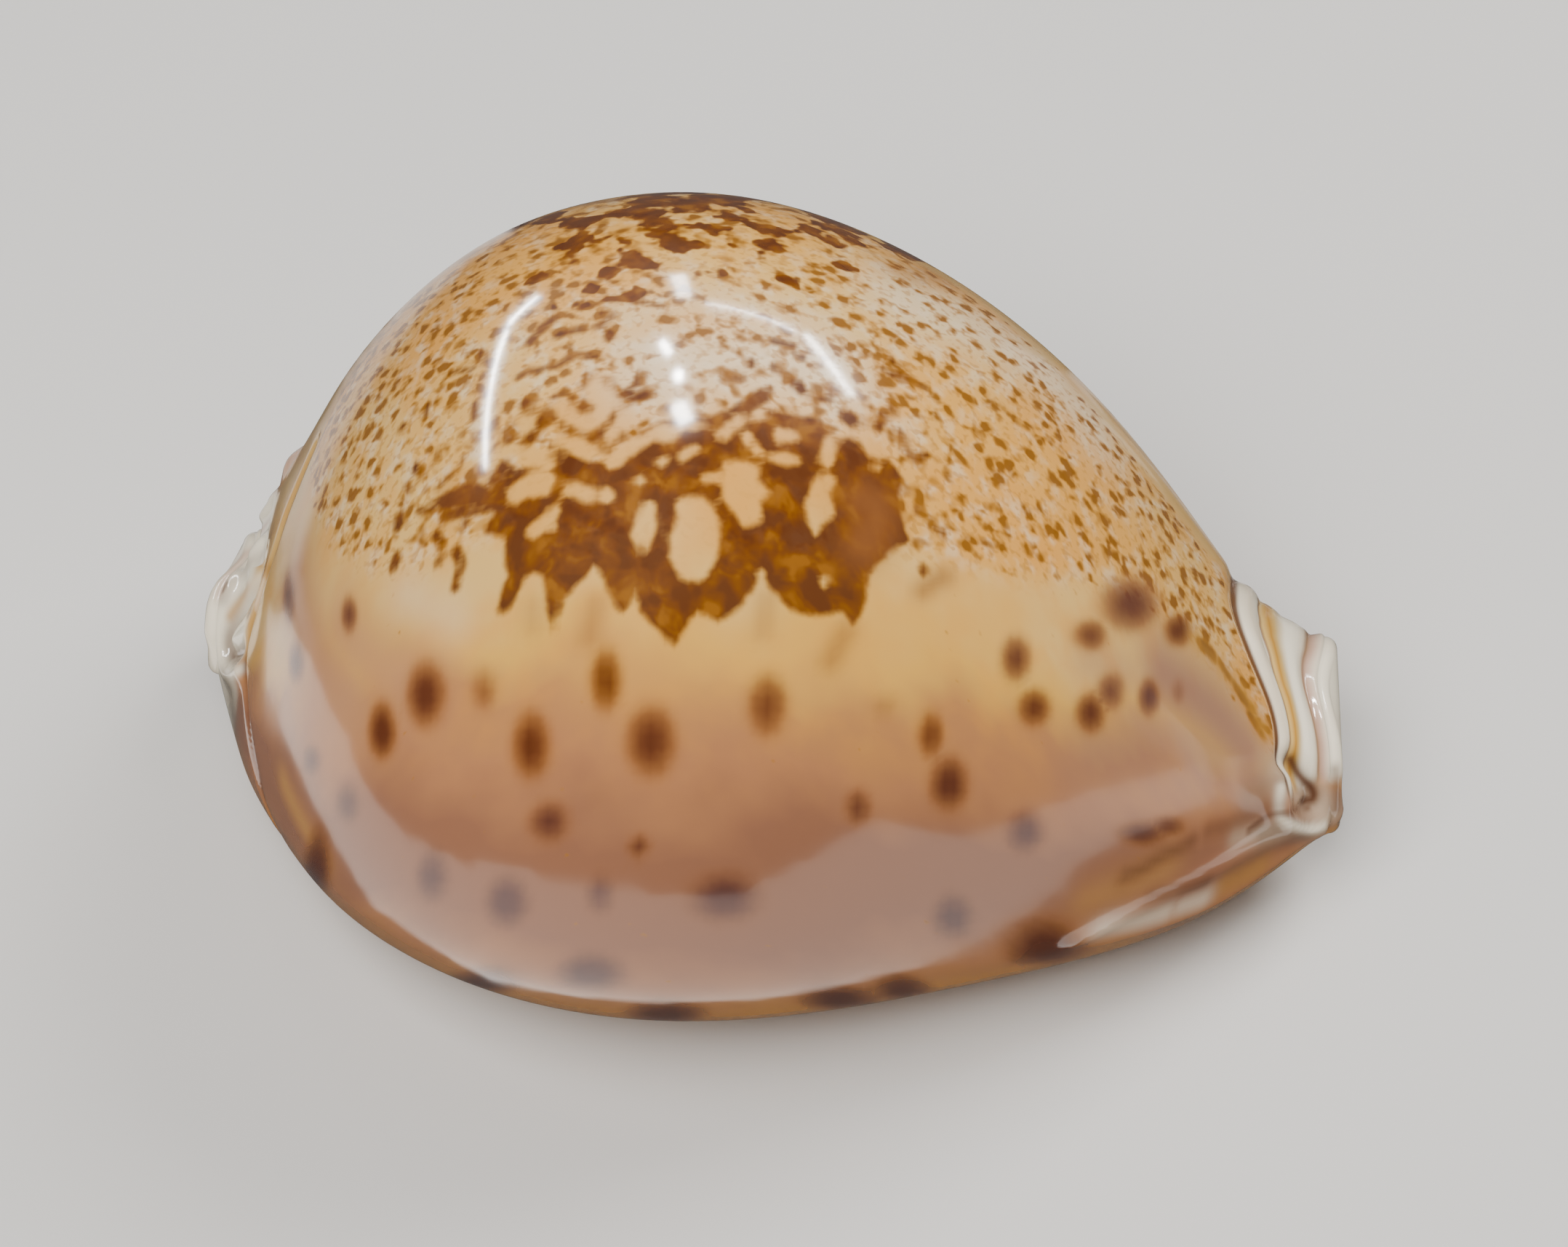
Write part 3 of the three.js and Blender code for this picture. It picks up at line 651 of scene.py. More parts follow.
            (3.2, 0.6, [(700, 370), (830, 330), (960, 325), (1100, 340)]),
        ],
        "bone": [
            (2.0, 0.85, [(1764, 1062), (1800, 1092), (1826, 1122)]),
            (1.0, 0.6, [(1700, 1150), (1760, 1140)]),
        ],
        "lilac": [
            (3.4, 0.85, [(1600, 925), (1670, 975), (1715, 1030)]),
            (3.4, 0.6, [(1500, 1040), (1600, 1010), (1690, 1040)]),
            (2.0, 0.4, [(1500, 905), (1560, 930)]),
        ],
        "blush": [
            (3.8, 0.95, [(405, 800), (430, 900), (470, 960)]),
            (3.0, 0.75, [(470, 860), (500, 900), (560, 930)]),
        ],
        "haze": [
            (1.7, 0.85, [(1190, 690), (1208, 700), (1204, 726), (1188, 748)]),
            (0.9, 0.5, [(1164, 867), (1142, 908)]),
            (0.8, 0.4, [(820, 829), (810, 877)]),
            (0.8, 0.3, [(733, 834), (733, 860)]),
            (0.8, 0.35, [(1054, 824), (1049, 867)]),
            (0.8, 0.6, [(1268, 812), (1284, 800), (1300, 792)]),
            (0.7, 0.4, [(1214, 972), (1218, 972)]),
            (1.6, 0.3, [(620, 690), (660, 680)]),
            (2.0, 0.4, [(1240, 375), (1290, 380)]),
        ],
    },
    # the second blotch lies past the middle of the back, as (along, round) in mm of skin
    "farBlotch": [
        (-18, 17), (-14, 16), (-11, 11), (-9.5, 9), (-8, 12), (-5, 8.5), (-3, 11), (-1, 8), (1, 10.5),
        (3, 9), (5, 12), (8, 11.5), (10, 15), (13, 15), (15, 18), (14, 21), (16, 26), (11, 27), (9, 34),
        (6, 29), (3, 37), (0, 31), (-4, 39), (-7, 31), (-11, 35), (-13, 28), (-18, 30), (-18, 24),
        (-22, 20),
    ],
    "farGaps": [
        [(-12, 14), (-8, 12), (-6, 16), (-8, 21), (-12, 19)],
        [(1, 12), (5, 11), (7, 16), (4, 20), (1, 17)],
        [(-3, 9), (-1, 8), (0, 11), (-2, 13)],
        [(-16, 19), (-13, 18), (-14, 24), (-17, 23)],
        [(-4, 24), (-1, 22), (0, 28), (-3, 30)],
        [(8, 19), (11, 17), (12, 22), (9, 24)],
    ],
}


# signed distance in mm from an outline on the skin, positive inside
def outlineDepth(outline, at):
    corners = np.array(outline, float)
    inside = np.zeros(at.shape[:-1], bool)
    nearest = np.full(at.shape[:-1], 1e9)
    for a, b in zip(corners, np.roll(corners, -1, 0)):
        edge = b - a
        share = np.clip(((at - a) @ edge) / max(edge @ edge, 1e-9), 0, 1)
        nearest = np.minimum(nearest, np.linalg.norm(at - a - share[..., None] * edge, axis=-1))
        crosses = (a[1] > at[..., 1]) != (b[1] > at[..., 1])
        slope = (b[0] - a[0]) / (b[1] - a[1] if abs(b[1] - a[1]) > 1e-9 else 1e-9)
        inside ^= crosses & (at[..., 0] < a[0] + (at[..., 1] - a[1]) * slope)
    return np.where(inside, nearest, -nearest)


def onSkin(pixels):
    return [tuple(findOnSkin(px, py)) for px, py in pixels]


# how deep each place lies in a set of brush strokes, in mm of skin
def strokeDepth(strokes):
    depth = np.full(skin.shape[:2], -9.0)
    for half, path in strokes:
        depth = np.maximum(depth, half - pathDistance(skin, onSkin(path)))
    return depth


def blotchFields():
    body = outlineDepth(onSkin(markings["blotch"]), skin)
    near = np.maximum(body, strokeDepth(markings["strands"]))
    gaps = strokeDepth(markings["holes"])
    for gap in markings["gaps"]:
        gaps = np.maximum(gaps, outlineDepth(onSkin(gap), skin))
    far = outlineDepth(markings["farBlotch"], skin)
    for gap in markings["farGaps"]:
        far = np.minimum(far, -outlineDepth(gap, skin))
    return np.maximum(np.minimum(near, -gaps), np.minimum(far, 0.7)), gaps, np.maximum(body, far)


# every spot as a centre and two half axes on the skin; the far side gets its own, set out the same way
def spotList():
    spots = []
    for px, py, width, height, strength, violet in markings["spots"]:
        centre = findOnSkin(px, py)
        a = (findOnSkin(px + width / 2, py) - findOnSkin(px - width / 2, py)) / 2
        b = (findOnSkin(px, py - height / 2) - findOnSkin(px, py + height / 2)) / 2
        if np.linalg.norm(b) < height / 60:  # on the shell's outline
            b = np.array([0, height / 14])
        spots.append((centre, a, b, strength, violet))
    chance = random.Random(7)
    for centre, a, b, strength, violet in list(spots):
        if centre[1] > -20:
            continue
        moved = np.array([centre[0] * 0.97 + chance.uniform(-4, 4), -centre[1] + chance.uniform(-2.5, 2.5)])
        size = chance.uniform(0.8, 1.15)
        flip = np.array([1, -1])
        spots.append((moved, a * flip * size, b * flip * size, strength * chance.uniform(0.75, 1), violet))
    return spots


def spotFields():
    strengthField = np.zeros(skin.shape[:2])
    violetField = np.zeros(skin.shape[:2])
    for centre, a, b, strength, violet in spotList():
        across = np.linalg.inv(np.array([a, b]).T + 1e-6 * np.eye(2))
        d = (skin - centre) @ across.T
        r = np.sqrt(d[..., 0] ** 2 + d[..., 1] ** 2)
        here = strength * np.exp(-(r / 1.15) ** 2.0)
        violetField = np.where(here > strengthField, violet, violetField)
        strengthField = np.maximum(strengthField, here)
    return strengthField, violetField


# how strongly each place takes a set of soft strokes
def strokeField(strokes):
    share = np.zeros(skin.shape[:2])
    for width, strength, path in strokes:
        if isinstance(path, str):
            line = (np.array(shellForm["creases"][path][2]) + shift) * fit
        else:
            line = [findPoint(px, py)[0] for px, py in path]
        away = pathDistance(points, rounded(line))
        share = np.maximum(share, strength * np.exp(-((away / width) ** 2)))
    return share


# 1 where the back is netted, fading out at its lowest edge on both sides
def netField():
    edge = np.array(sorted(onSkin(markings["netEdge"])))
    near = np.interp(skin[..., 0], edge[:, 0], edge[:, 1])
    labral = smooth((skin[..., 1] - near + 1.5) / 3.5)
    columellar = smooth((-near + 1.0 - skin[..., 1] + 1.5) / 3.5)
    return labral * columellar


def setFields(obj):
    outer = (loopKind == "outer")[None] & np.ones((rowCount, 1), bool)
    farSide = np.where(loopSide == 0, 0.0, 1.0)[None] + np.zeros((rowCount, 1))
    degrees = np.where(loopKind == "outer", loopDeg, -90.0)[None] + np.zeros((rowCount, 1))
    strengthField, violetField = spotFields()
    blotch, gaps, body = blotchFields()
    baseX = sectionAt(rowT)["baseX"]
    turn = turnOf(loopDeg, loopSide)[None]
    fields = {
        "along": rowT[:, None] + np.zeros((1, loopCount)),
        "degrees": degrees,
        "farSide": farSide,
        "inside": np.where(outer, 0.0, np.where((loopKind == "inner")[None], 1.0, 0.4)),
        "blotch": np.clip(blotch, -8, 8),
        "gaps": np.clip(gaps, -3, 3),
        "body": np.clip(body, -8, 3),
        "netting": netField() * outer,
        "spots": strengthField * outer,
        "violet": violetField,
        "collar": np.clip(collarPlace(rowT[:, None], turn), -1, 1),
        "upperTurn": smooth((turn - 24) / 14) * smooth((252 - turn) / 30) * outer,
        "toothGap": toothGaps(baseX, loopDeg, loopKind, loopSide, shellForm["toothReach"] + 4),
    }
    for kind in ("washes", "strokes"):
        for colour, strokes in markings[kind].items():
            fields[colour] = strokeField(strokes) * outer
    for name, values in fields.items():
        layer = obj.data.attributes.new(name, "FLOAT", "POINT")
        layer.data.foreach_set("value", np.ascontiguousarray(values, dtype=np.float32).ravel())
    layer = obj.data.attributes.new("skin", "FLOAT_VECTOR", "POINT")
    flat = np.concatenate([skin, np.zeros((rowCount, loopCount, 1))], 2).astype(np.float32)
    layer.data.foreach_set("vector", flat.ravel())


setFields(shell)
print("markings placed")

# colours are linear; sizes in mm of skin
enamelLook = {
    "cream": (0.67, 0.405, 0.12),
    "golden": (0.66, 0.285, 0.045),
    "paleBand": (0.66, 0.355, 0.065),
    "peach": (0.43, 0.19, 0.065),
    "tan": (0.40, 0.17, 0.07),
    "mauve": (0.27, 0.115, 0.06),
    "amberSide": (0.50, 0.22, 0.04),
    "base": (0.50, 0.31, 0.17),
    # milky white: the ground's own pale clouds, and also the painted sheen of the milk washes
    "milkAndSheen": (0.74, 0.60, 0.40),
    "yellow": (0.68, 0.34, 0.06),
    "haze": (0.20, 0.07, 0.018),
    "lilac": (0.27, 0.13, 0.095),
    "blush": (0.44, 0.21, 0.10),
    "bone": (0.46, 0.34, 0.23),
    "netBrown": (0.19, 0.065, 0.003),
    "netAmber": (0.37, 0.15, 0.012),
    "blotchBrown": (0.128, 0.034, 0.004),
    "blotchDeep": (0.078, 0.019, 0.006),
    "blotchGold": (0.29, 0.105, 0.004),
    "spotBrown": (0.085, 0.017, 0.002),
    "spotHalo": (0.26, 0.09, 0.014),
    "spotViolet": (0.085, 0.032, 0.028),
    "inside": (0.36, 0.24, 0.25),
    "lineBrown": (0.09, 0.03, 0.012),
    "white": (0.84, 0.75, 0.58),
    "collarPale": (0.66, 0.55, 0.40),
    "collarYellow": (0.62, 0.40, 0.13),
    "collarBrown": (0.30, 0.17, 0.085),
    "rose": (0.50, 0.32, 0.23),
    "amber": (0.44, 0.21, 0.03),
    # grey: the colour of the painted shade strokes
    "plum": (0.09, 0.035, 0.035),
    "greyShade": (0.15, 0.11, 0.075),
    "netFine": 1.4,
    "dotsPerMm": 0.84,
    "netCoarse": 0.75,
    "roughness": 0.09,
    "ior": 1.53,
    "coat": 0.15,
    "coatRoughness": 0.03,
    "bumpStrength": 0.15,
    "bumpDepth": 0.00012,
    # colours from the base up to the back, and from the collar's line to its end: place, colour
    "groundBands": [
        (0.0, "base"), (0.16, "base"), (0.33, "amberSide"), (0.45, "tan"), (0.53, "mauve"), (0.61, "mauve"),
        (0.67, "tan"), (0.715, "peach"), (0.755, "paleBand"), (0.80, "cream"), (1.0, "cream"),
    ],
    "collarBands": [
        (0.0, "white"), (0.13, "white"), (0.22, "collarPale"), (0.285, "white"), (0.305, "collarBrown"),
        (0.325, "collarYellow"), (0.375, "amber"), (0.42, "collarYellow"), (0.52, "white"), (0.66, "white"),
        (0.73, "collarPale"), (0.80, "collarBrown"), (0.87, "rose"), (1.0, "white"),
    ],
    # washes laid over the ground; the milk washes are painted sheen
    "groundWashes": ("milkAndSheen", "yellow", "blush", "lilac", "bone"),
    # which colour paints each set of strokes; the grey strokes are painted shade
    "strokePaints": (
        ("greyShade", "greyShade"), ("plum", "plum"), ("rose", "rose"), ("amber", "amber"), ("pale", "white"),
        ("dark", "lineBrown"),
    ),
}


def addNode(tree, kind, **settings):
    node = tree.nodes.new(kind)
    for name, value in settings.items():
        setattr(node, name, value)
    return node


def plug(tree, value, socket):
    if isinstance(value, bpy.types.NodeSocket):
        tree.links.new(value, socket)
    elif isinstance(value, tuple) and len(value) == 3 and socket.type == "RGBA":
        socket.default_value = (*value, 1)
    else:
        socket.default_value = value


def maths(tree, operation, a, b):
    node = addNode(tree, "ShaderNodeMath", operation=operation)
    plug(tree, a, node.inputs[0])
    plug(tree, b, node.inputs[1])
    return node.outputs[0]


def plus(tree, a, b):
    return maths(tree, "ADD", a, b)


def minus(tree, a, b):
    return maths(tree, "SUBTRACT", a, b)


def times(tree, a, b):
    return maths(tree, "MULTIPLY", a, b)


# 0 at the first limit, 1 at the second, smooth in between
def step(tree, value, first, second):
    node = addNode(tree, "ShaderNodeMapRange", interpolation_type="SMOOTHSTEP")
    plug(tree, value, node.inputs["Value"])
    plug(tree, first, node.inputs["From Min"])
    plug(tree, second, node.inputs["From Max"])
    return node.outputs["Result"]


def blend(tree, share, a, b):
    node = addNode(tree, "ShaderNodeMix", data_type="RGBA")
    plug(tree, share, node.inputs["Factor"])
    plug(tree, a, node.inputs["A"])
    plug(tree, b, node.inputs["B"])
    return node.outputs["Result"]


def field(tree, name, output="Fac"):
    return addNode(tree, "ShaderNodeAttribute", attribute_name=name).outputs[output]


def noise(tree, place, scale, detail=2.0, roughness=0.5, distortion=0.0):
    node = addNode(tree, "ShaderNodeTexNoise")
    plug(tree, place, node.inputs["Vector"])
    node.inputs["Scale"].default_value = scale
    node.inputs["Detail"].default_value = detail
    node.inputs["Roughness"].default_value = roughness
    node.inputs["Distortion"].default_value = distortion
    return node.outputs["Fac"]


# noise that swings evenly round zero
def sway(tree, place, scale, detail, amount):
    return times(tree, minus(tree, noise(tree, place, scale, detail), 0.5), amount)


def ramp(tree, value, stops):
    node = addNode(tree, "ShaderNodeValToRGB")
    elements = node.color_ramp.elements
    while len(elements) < len(stops):
        elements.new(0.5)
    for element, (place, colour) in zip(elements, stops):
        element.position = place
        element.color = (*colour, 1)
    plug(tree, value, node.inputs["Fac"])
    return node.outputs["Color"]


# cream back, pale band, then peach, tan and mauve down the side, cream base
def groundColour(tree, place, netting, cleared):
    look = enamelLook
    degrees = field(tree, "degrees")
    level = plus(tree, degrees, sway(tree, place, 0.09, 3.0, 30.0))
    level = maths(tree, "DIVIDE", plus(tree, level, 90.0), 180.0)
    colour = ramp(tree, level, [(at, look[name]) for at, name in look["groundBands"]])
    goldShare = step(tree, noise(tree, place, 0.055), 0.36, 0.62)
    goldShare = times(tree, goldShare, times(tree, netting, 0.75))
    colour = blend(tree, goldShare, colour, look["golden"])
    clouds = times(tree, step(tree, noise(tree, place, 0.3), 0.38, 0.72), step(tree, degrees, 20.0, 50.0))
    colour = blend(tree, times(tree, clouds, 0.4), colour, look["golden"])
    milky = times(tree, step(tree, noise(tree, place, 0.65), 0.46, 0.7), times(tree, netting, 0.45))
    colour = blend(tree, times(tree, milky, minus(tree, 1.0, cleared)), colour, look["milkAndSheen"])
    # soft washes of colour; the milk washes are painted sheen, a painted reflection
    for name in look["groundWashes"]:
        colour = blend(tree, field(tree, name), colour, look[name])
    return colour


# netting: soft dots and short worms, larger and closer round the blotches
def addNetting(tree, colour, place, netting, cleared):
    look = enamelLook
    squeeze = addNode(tree, "ShaderNodeVectorMath", operation="MULTIPLY")
    plug(tree, place, squeeze.inputs[0])
    squeeze.inputs[1].default_value = (0.8, 1, 1)
    drawn = squeeze.outputs[0]
    dots = addNode(tree, "ShaderNodeTexVoronoi")
    dots.inputs["Scale"].default_value = look["dotsPerMm"]
    plug(tree, drawn, dots.inputs["Vector"])
    worms = times(tree, noise(tree, drawn, look["netFine"], 1.0, 0.4, 0.3), 0.55)
    fine = plus(tree, worms, times(tree, minus(tree, 0.95, dots.outputs["Distance"]), 0.5))
    coarse = noise(tree, place, look["netCoarse"], 1.0, 0.4, 0.3)
    grain = addNode(tree, "ShaderNodeMix", data_type="FLOAT")
    plug(tree, step(tree, field(tree, "body"), -5.0, -0.5), grain.inputs["Factor"])
    plug(tree, fine, grain.inputs[2])
    plug(tree, coarse, grain.inputs[3])
    value = plus(tree, grain.outputs[0], sway(tree, place, 0.13, 2.0, 0.2))
    # the netting is a little fainter under the painted sheen
    value = minus(tree, value, times(tree, field(tree, "milkAndSheen"), 0.06))
    value = minus(tree, value, times(tree, cleared, 0.3))
    netting = times(tree, netting, step(tree, field(tree, "collar"), -0.04, -0.12))
    value = minus(tree, value, times(tree, minus(tree, 1.0, netting), 0.3))
    specks = times(tree, step(tree, noise(tree, drawn, 1.9, 1.0), 0.52, 0.68), times(tree, netting, 0.45))
    specks = times(tree, specks, minus(tree, 1.0, times(tree, cleared, 0.8)))
    colour = blend(tree, specks, colour, look["netAmber"])
    colour = blend(tree, times(tree, step(tree, value, 0.46, 0.58), 0.6), colour, look["netAmber"])
    return blend(tree, times(tree, step(tree, value, 0.54, 0.66), 0.85), colour, look["netBrown"])


# blotches: a golden edge, brown, and a deeper and a golden mottle inside, under a hazy patch
def addBlotches(tree, colour, place):
    look = enamelLook
    blotch = plus(tree, field(tree, "blotch"), sway(tree, place, 0.9, 2.0, 0.5))
    blotch = plus(tree, blotch, times(tree, sway(tree, place, 0.42, 2.0, 7.0), field(tree, "farSide")))
    mottled = noise(tree, place, 0.55, 2.0, 0.5, 0.3)
    inner = blend(tree, step(tree, mottled, 0.43, 0.62), look["blotchBrown"], look["blotchDeep"])
    inner = blend(tree, times(tree, step(tree, mottled, 0.48, 0.30), 0.6), inner, look["blotchGold"])
    colour = blend(tree, times(tree, step(tree, blotch, -0.35, 0.1), 0.6), colour, look["blotchGold"])
    colour = blend(tree, times(tree, step(tree, blotch, -0.18, 0.3), 0.93), colour, inner)
    return blend(tree, field(tree, "haze"), colour, look["haze"])


# soft spots: an amber halo, then a brown or violet middle
def addSpots(tree, colour, place):
    look = enamelLook
    spots = field(tree, "spots")
    strength = plus(tree, spots, times(tree, sway(tree, place, 0.7, 2.0, 0.16), step(tree, spots, 0.05, 0.4)))
    middle = blend(tree, field(tree, "violet"), look["spotBrown"], look["spotViolet"])
    halo = blend(tree, field(tree, "violet"), look["spotHalo"], look["mauve"])
    colour = blend(tree, times(tree, step(tree, strength, 0.05, 0.5), 0.75), colour, halo)
    return blend(tree, times(tree, step(tree, strength, 0.15, 0.9), 0.95), colour, middle)


# cream flange, then the collar's bands from its dark line to the siphon end, then the strokes
def addEnds(tree, colour, place):
    look = enamelLook
    along = minus(tree, field(tree, "along"), times(tree, field(tree, "farSide"), 0.045))
    upper = step(tree, field(tree, "degrees"), -70.0, -45.0)
    colour = blend(tree, times(tree, step(tree, along, 0.125, 0.095), upper), colour, look["white"])
    collar = field(tree, "collar")
    upperTurn = field(tree, "upperTurn")
    bands = plus(tree, plus(tree, collar, sway(tree, place, 0.2, 2.0, 0.12)), 0.15)
    bands = maths(tree, "DIVIDE", bands, 1.15)
    collarColour = ramp(tree, bands, [(at, look[name]) for at, name in look["collarBands"]])
    colour = blend(tree, times(tree, step(tree, collar, 0.0, 0.03), upperTurn), colour, collarColour)
    line = times(tree, step(tree, collar, -0.035, -0.005), step(tree, collar, 0.045, 0.015))
    colour = blend(tree, times(tree, times(tree, line, upperTurn), 0.9), colour, look["lineBrown"])
    # the strokes, the grey ones painted shade
    for stroke, name in look["strokePaints"]:
        colour = blend(tree, field(tree, stroke), colour, look[name])
    return colour


def enamelMaterial():
    look = enamelLook
    material = bpy.data.materials.new("enamel")
    material.use_nodes = True
    tree = material.node_tree
    shader = tree.nodes["Principled BSDF"]
    place = field(tree, "skin", "Vector")
    netting = field(tree, "netting")
    cleared = step(tree, field(tree, "gaps"), -0.6, 0.1)  # 1 in the blotch's pale gaps
    colour = groundColour(tree, place, netting, cleared)
    colour = addNetting(tree, colour, place, netting, cleared)
    colour = addBlotches(tree, colour, place)
    colour = addSpots(tree, colour, place)
    colour = addEnds(tree, colour, place)
    # amber between the teeth, lilac inside
    colour = blend(tree, times(tree, field(tree, "toothGap"), 0.55), colour, look["netAmber"])
    colour = blend(tree, field(tree, "inside"), colour, look["inside"])
    plug(tree, colour, shader.inputs["Base Color"])
    gloss = plus(tree, look["roughness"], times(tree, noise(tree, place, 0.4, 3.0), 0.05))
    plug(tree, gloss, shader.inputs["Roughness"])
    bump = addNode(tree, "ShaderNodeBump")
    bump.inputs["Strength"].default_value = look["bumpStrength"]
    bump.inputs["Distance"].default_value = look["bumpDepth"]
    plug(tree, noise(tree, place, 0.22, 3.0, 0.4), bump.inputs["Height"])
    plug(tree, bump.outputs["Normal"], shader.inputs["Normal"])
    shader.inputs["IOR"].default_value = look["ior"]
    shader.inputs["Coat Weight"].default_value = look["coat"]
    shader.inputs["Coat Roughness"].default_value = look["coatRoughness"]
    return material


shell.data.materials.append(enamelMaterial())
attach(shell, "root")
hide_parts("shell")
print("enamel ready")


floorLook = {"size": 3, "colour": (0.62, 0.60, 0.57, 1), "roughness": 0.8}


def makeFloor():
    bpy.ops.mesh.primitive_plane_add(size=floorLook["size"], location=(0, 0, 0))
    floor = bpy.context.object
    floor.name = "floor"
    material = bpy.data.materials.new("floor")
    material.use_nodes = True
    shader = material.node_tree.nodes["Principled BSDF"]
    shader.inputs["Base Color"].default_value = floorLook["colour"]
    shader.inputs["Roughness"].default_value = floorLook["roughness"]
    floor.data.materials.append(material)
    floor.visible_glossy = False  # the shell mirrors the studio's sheets instead


makeFloor()

# watts, size in mm; a lamp with "shows" is a narrow strip whose mirror image joins two picture pixels
studio = {
    "worldColour": (0.80, 0.80, 0.80, 1),
    "worldStrength": 0.12,
    "fills": [
        {"place": (-150, -260, 520), "aim": (0, 0, 25), "size": (420, 420), "watts": 5.7},
        {"place": (300, 240, 420), "aim": (0, 0, 25), "size": (300, 300), "watts": 3.0},
    ],
    "strips": [
        {"shows": ((751, 399), (704, 446)), "thick": 7, "watts": 0.3},
        {"shows": ((701, 450), (672, 640)), "thick": 9, "watts": 1.1},
        {"shows": ((978, 413), (1105, 456)), "thick": 4, "watts": 0.3},
        {"shows": ((1108, 458), (1172, 543)), "thick": 12, "watts": 0.5},
        {"shows": ((942, 374), (944, 408)), "thick": 30, "watts": 0.35},
        {"shows": ((918, 468), (922, 486)), "thick": 16, "watts": 0.5},
        {"shows": ((940, 506), (942, 520)), "thick": 15, "watts": 0.45},
        {"shows": ((943, 550), (946, 578)), "thick": 40, "watts": 0.8},
    ],
    "stripDistance": 480,
    # glowing sheets whose mirror images fill the room between two lines; soft is how much of them fades out
    "sheets": [
        {"glow": 1.75, "soft": 0.04, "upper": [  # the broad pale reflection along the side
            (418, 775), (414, 810), (420, 860), (432, 905), (463, 976), (484, 1011), (497, 1061),
            (541, 1117), (598, 1158), (646, 1179), (711, 1182), (808, 1202), (922, 1211), (1011, 1218),
            (1051, 1202), (1083, 1182), (1116, 1166), (1148, 1142), (1213, 1117), (1278, 1134),
            (1343, 1142), (1407, 1117), (1472, 1093), (1505, 1077), (1569, 1066), (1646, 1043),
            (1742, 1028),
        ], "lower": [
            (371, 785), (366, 870), (366, 940), (384, 995), (428, 1093), (468, 1166), (517, 1247),
            (598, 1304), (679, 1352), (808, 1374), (921, 1380), (1051, 1374), (1181, 1352), (1278, 1326),
            (1391, 1266), (1448, 1234), (1488, 1182), (1529, 1162), (1618, 1120), (1690, 1094),
            (1748, 1072),
        ]},
        {"glow": 0.8, "soft": 0.3, "upper": [
            (700, 430), (760, 350), (900, 310), (1040, 340), (1140, 430), (1215, 540),
        ], "lower": [
            (690, 560), (760, 590), (850, 600), (1000, 620), (1130, 640), (1210, 600),
        ]},
        {"glow": 0.8, "soft": 0.3, "upper": [
            (370, 800), (376, 745), (400, 660), (428, 598), (485, 498), (550, 405), (620, 337),
            (700, 292),
        ], "lower": [
            (416, 800), (428, 745), (450, 680), (484, 592), (530, 505), (590, 425), (660, 355),
            (730, 315),
        ]},
        {"glow": 0.5, "soft": 0.3, "upper": [
            (1470, 497), (1560, 594), (1640, 690), (1720, 790), (1790, 872),
        ], "lower": [
            (1455, 508), (1548, 606), (1628, 701), (1708, 800), (1780, 882),
        ]},
    ],
    "sheetDistance": 700,
}


def addLamp(name, place, axes, size, watts, mirrored):
    data = bpy.data.lights.new(name, "AREA")
    data.shape = "RECTANGLE"
    data.size, data.size_y = size[0] * mm, size[1] * mm
    data.energy = watts
    lamp = bpy.data.objects.new(name, data)
    bpy.context.scene.collection.objects.link(lamp)
    lamp.matrix_world = Matrix.Translation(Vector(place) * mm) @ Matrix(axes).transposed().to_4x4()
    lamp.visible_glossy = mirrored
    lamp.visible_diffuse = not mirrored
    lamp.visible_camera = False


# where a mirror image at that pixel comes from
def mirrorPlace(px, py, distance):
    ray = lineThrough(px, py)[1]
    spot, (row, column) = findPoint(px, py)
    down = points[row + 1, column] - points[row - 1, column]
    normal = Vector(crossUnit(down, points[row, column + 1] - points[row, column - 1]))
    away = ray - 2 * ray.dot(normal) * normal
    return Vector(spot) + away * distance


# points set evenly along a line of pixels
def alongLine(line, count):
    line = np.array(line, float)
    run = np.concatenate([[0], np.cumsum(np.linalg.norm(np.diff(line, axis=0), axis=1))])
    at = np.linspace(0, run[-1], count)
    return np.stack([np.interp(at, run, line[:, 0]), np.interp(at, run, line[:, 1])], 1)


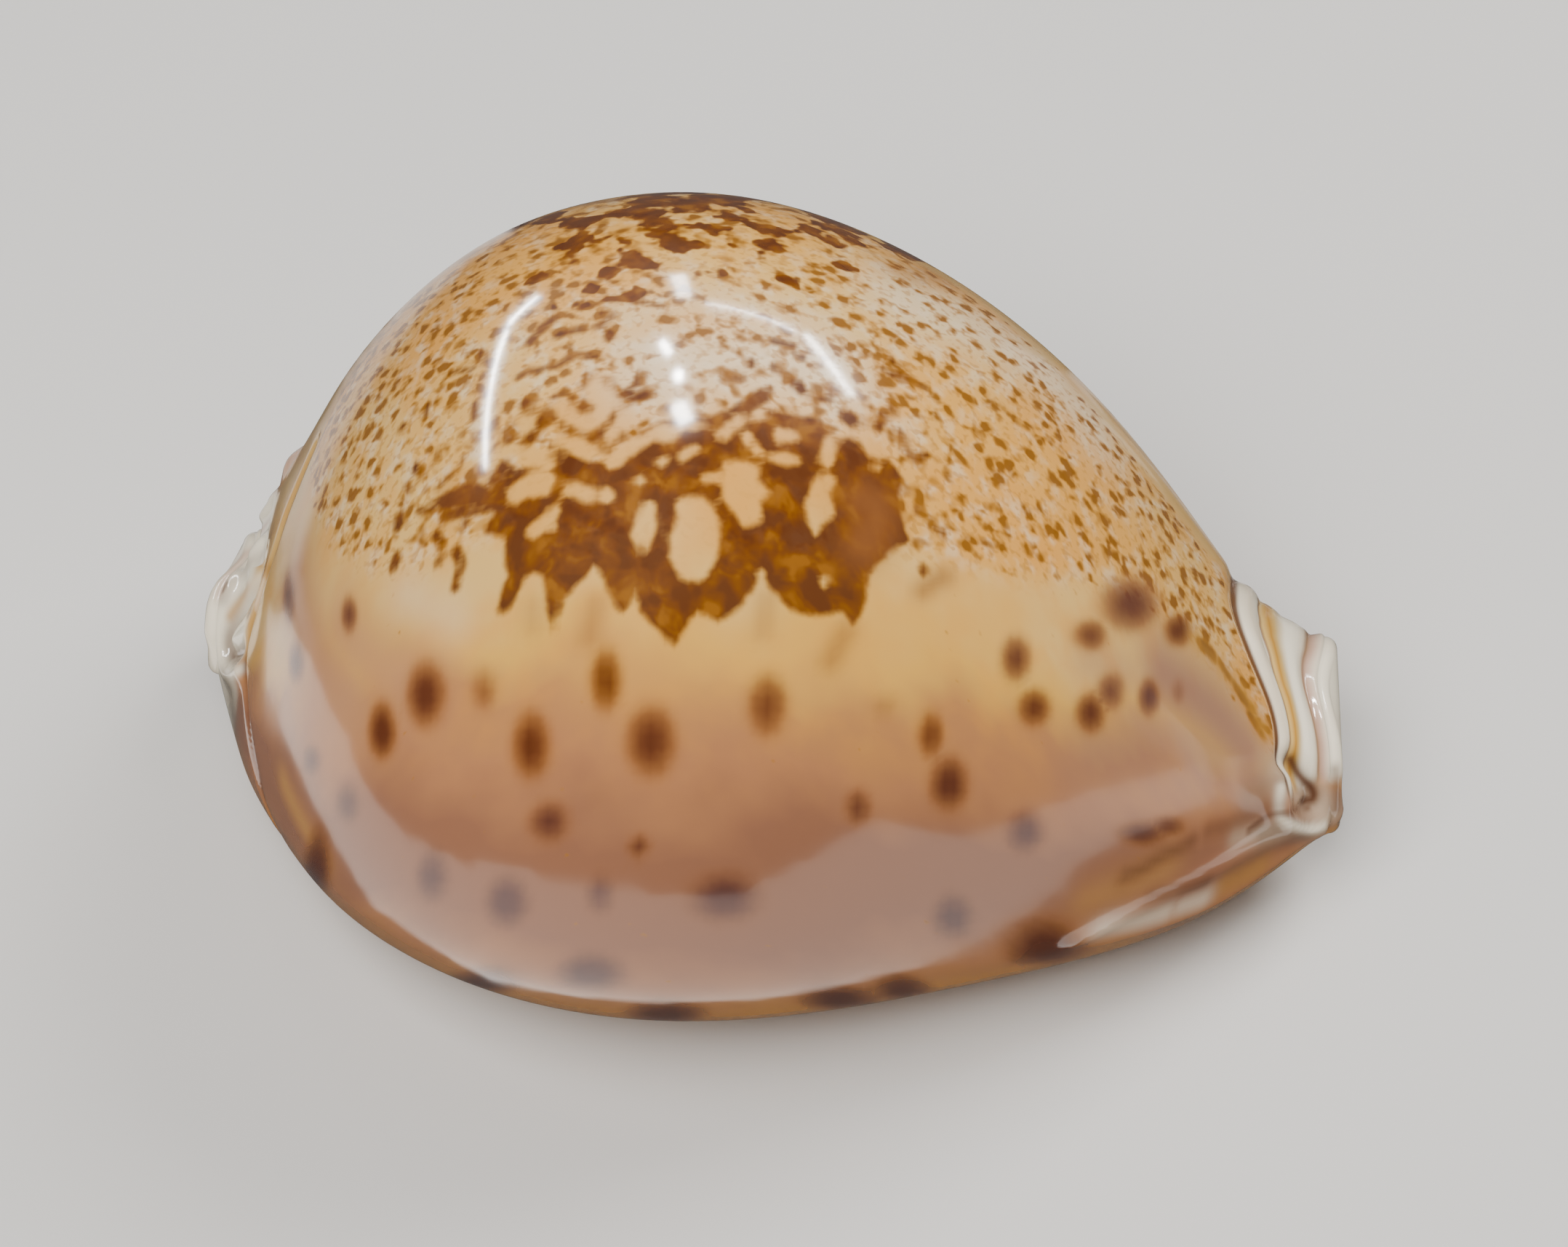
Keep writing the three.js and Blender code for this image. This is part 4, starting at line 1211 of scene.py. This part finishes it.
# a sheet that is seen only as a reflection, fading out on its edges
def addSheet(name, sheet):
    count, soft = 60, sheet["soft"]
    upper, lower = alongLine(sheet["upper"], count), alongLine(sheet["lower"], count)
    shares = (0, soft, 0.5, 1 - soft, 1)
    pixels = [mix(a, b, share) for share in shares for a, b in zip(upper, lower)]
    places = [mirrorPlace(px, py, studio["sheetDistance"]) for px, py in pixels]
    faces = [(r * count + n, r * count + n + 1, (r + 1) * count + n + 1, (r + 1) * count + n)
             for r in range(len(shares) - 1) for n in range(count - 1)]
    mesh = bpy.data.meshes.new(name)
    mesh.from_pydata((np.array(places) * mm).tolist(), [], faces)
    fade = np.minimum(smooth(np.arange(count) / 3), smooth((count - 1 - np.arange(count)) / 3))
    glow = np.array([0, 1, 1, 1, 0])[:, None] * fade[None] * sheet["glow"]
    layer = mesh.attributes.new("glow", "FLOAT", "POINT")
    layer.data.foreach_set("value", glow.astype(np.float32).ravel())
    material = bpy.data.materials.new(name)
    material.use_nodes = True
    shader = material.node_tree.nodes["Principled BSDF"]
    shader.inputs["Base Color"].default_value = (0, 0, 0, 1)
    shader.inputs["Emission Color"].default_value = (1, 0.93, 0.88, 1)
    material.node_tree.links.new(field(material.node_tree, "glow"), shader.inputs["Emission Strength"])
    mesh.materials.append(material)
    obj = bpy.data.objects.new(name, mesh)
    bpy.context.scene.collection.objects.link(obj)
    obj.visible_camera = obj.visible_diffuse = obj.visible_shadow = obj.visible_transmission = False


def makeLights():
    world = bpy.data.worlds.new("studio")
    bpy.context.scene.world = world
    world.use_nodes = True
    world.node_tree.nodes["Background"].inputs["Color"].default_value = studio["worldColour"]
    world.node_tree.nodes["Background"].inputs["Strength"].default_value = studio["worldStrength"]
    for n, fill in enumerate(studio["fills"]):
        back = (Vector(fill["place"]) - Vector(fill["aim"])).normalized()
        across = Vector((0, 0, 1)).cross(back).normalized()
        axes = (across, back.cross(across), back)
        addLamp("fill%d" % n, fill["place"], axes, fill["size"], fill["watts"], False)
    for n, sheet in enumerate(studio["sheets"]):
        addSheet("sheet%d" % n, sheet)
    for n, strip in enumerate(studio["strips"]):
        one, other = (mirrorPlace(*pixel, studio["stripDistance"]) for pixel in strip["shows"])
        middle = (one + other) / 2
        back = (middle - Vector((0, 0, 25))).normalized()
        across = (other - one).normalized()
        across = (across - across.dot(back) * back).normalized()
        size = ((other - one).length, strip["thick"])
        addLamp("strip%d" % n, middle, (across, back.cross(across), back), size, strip["watts"], True)


makeLights()
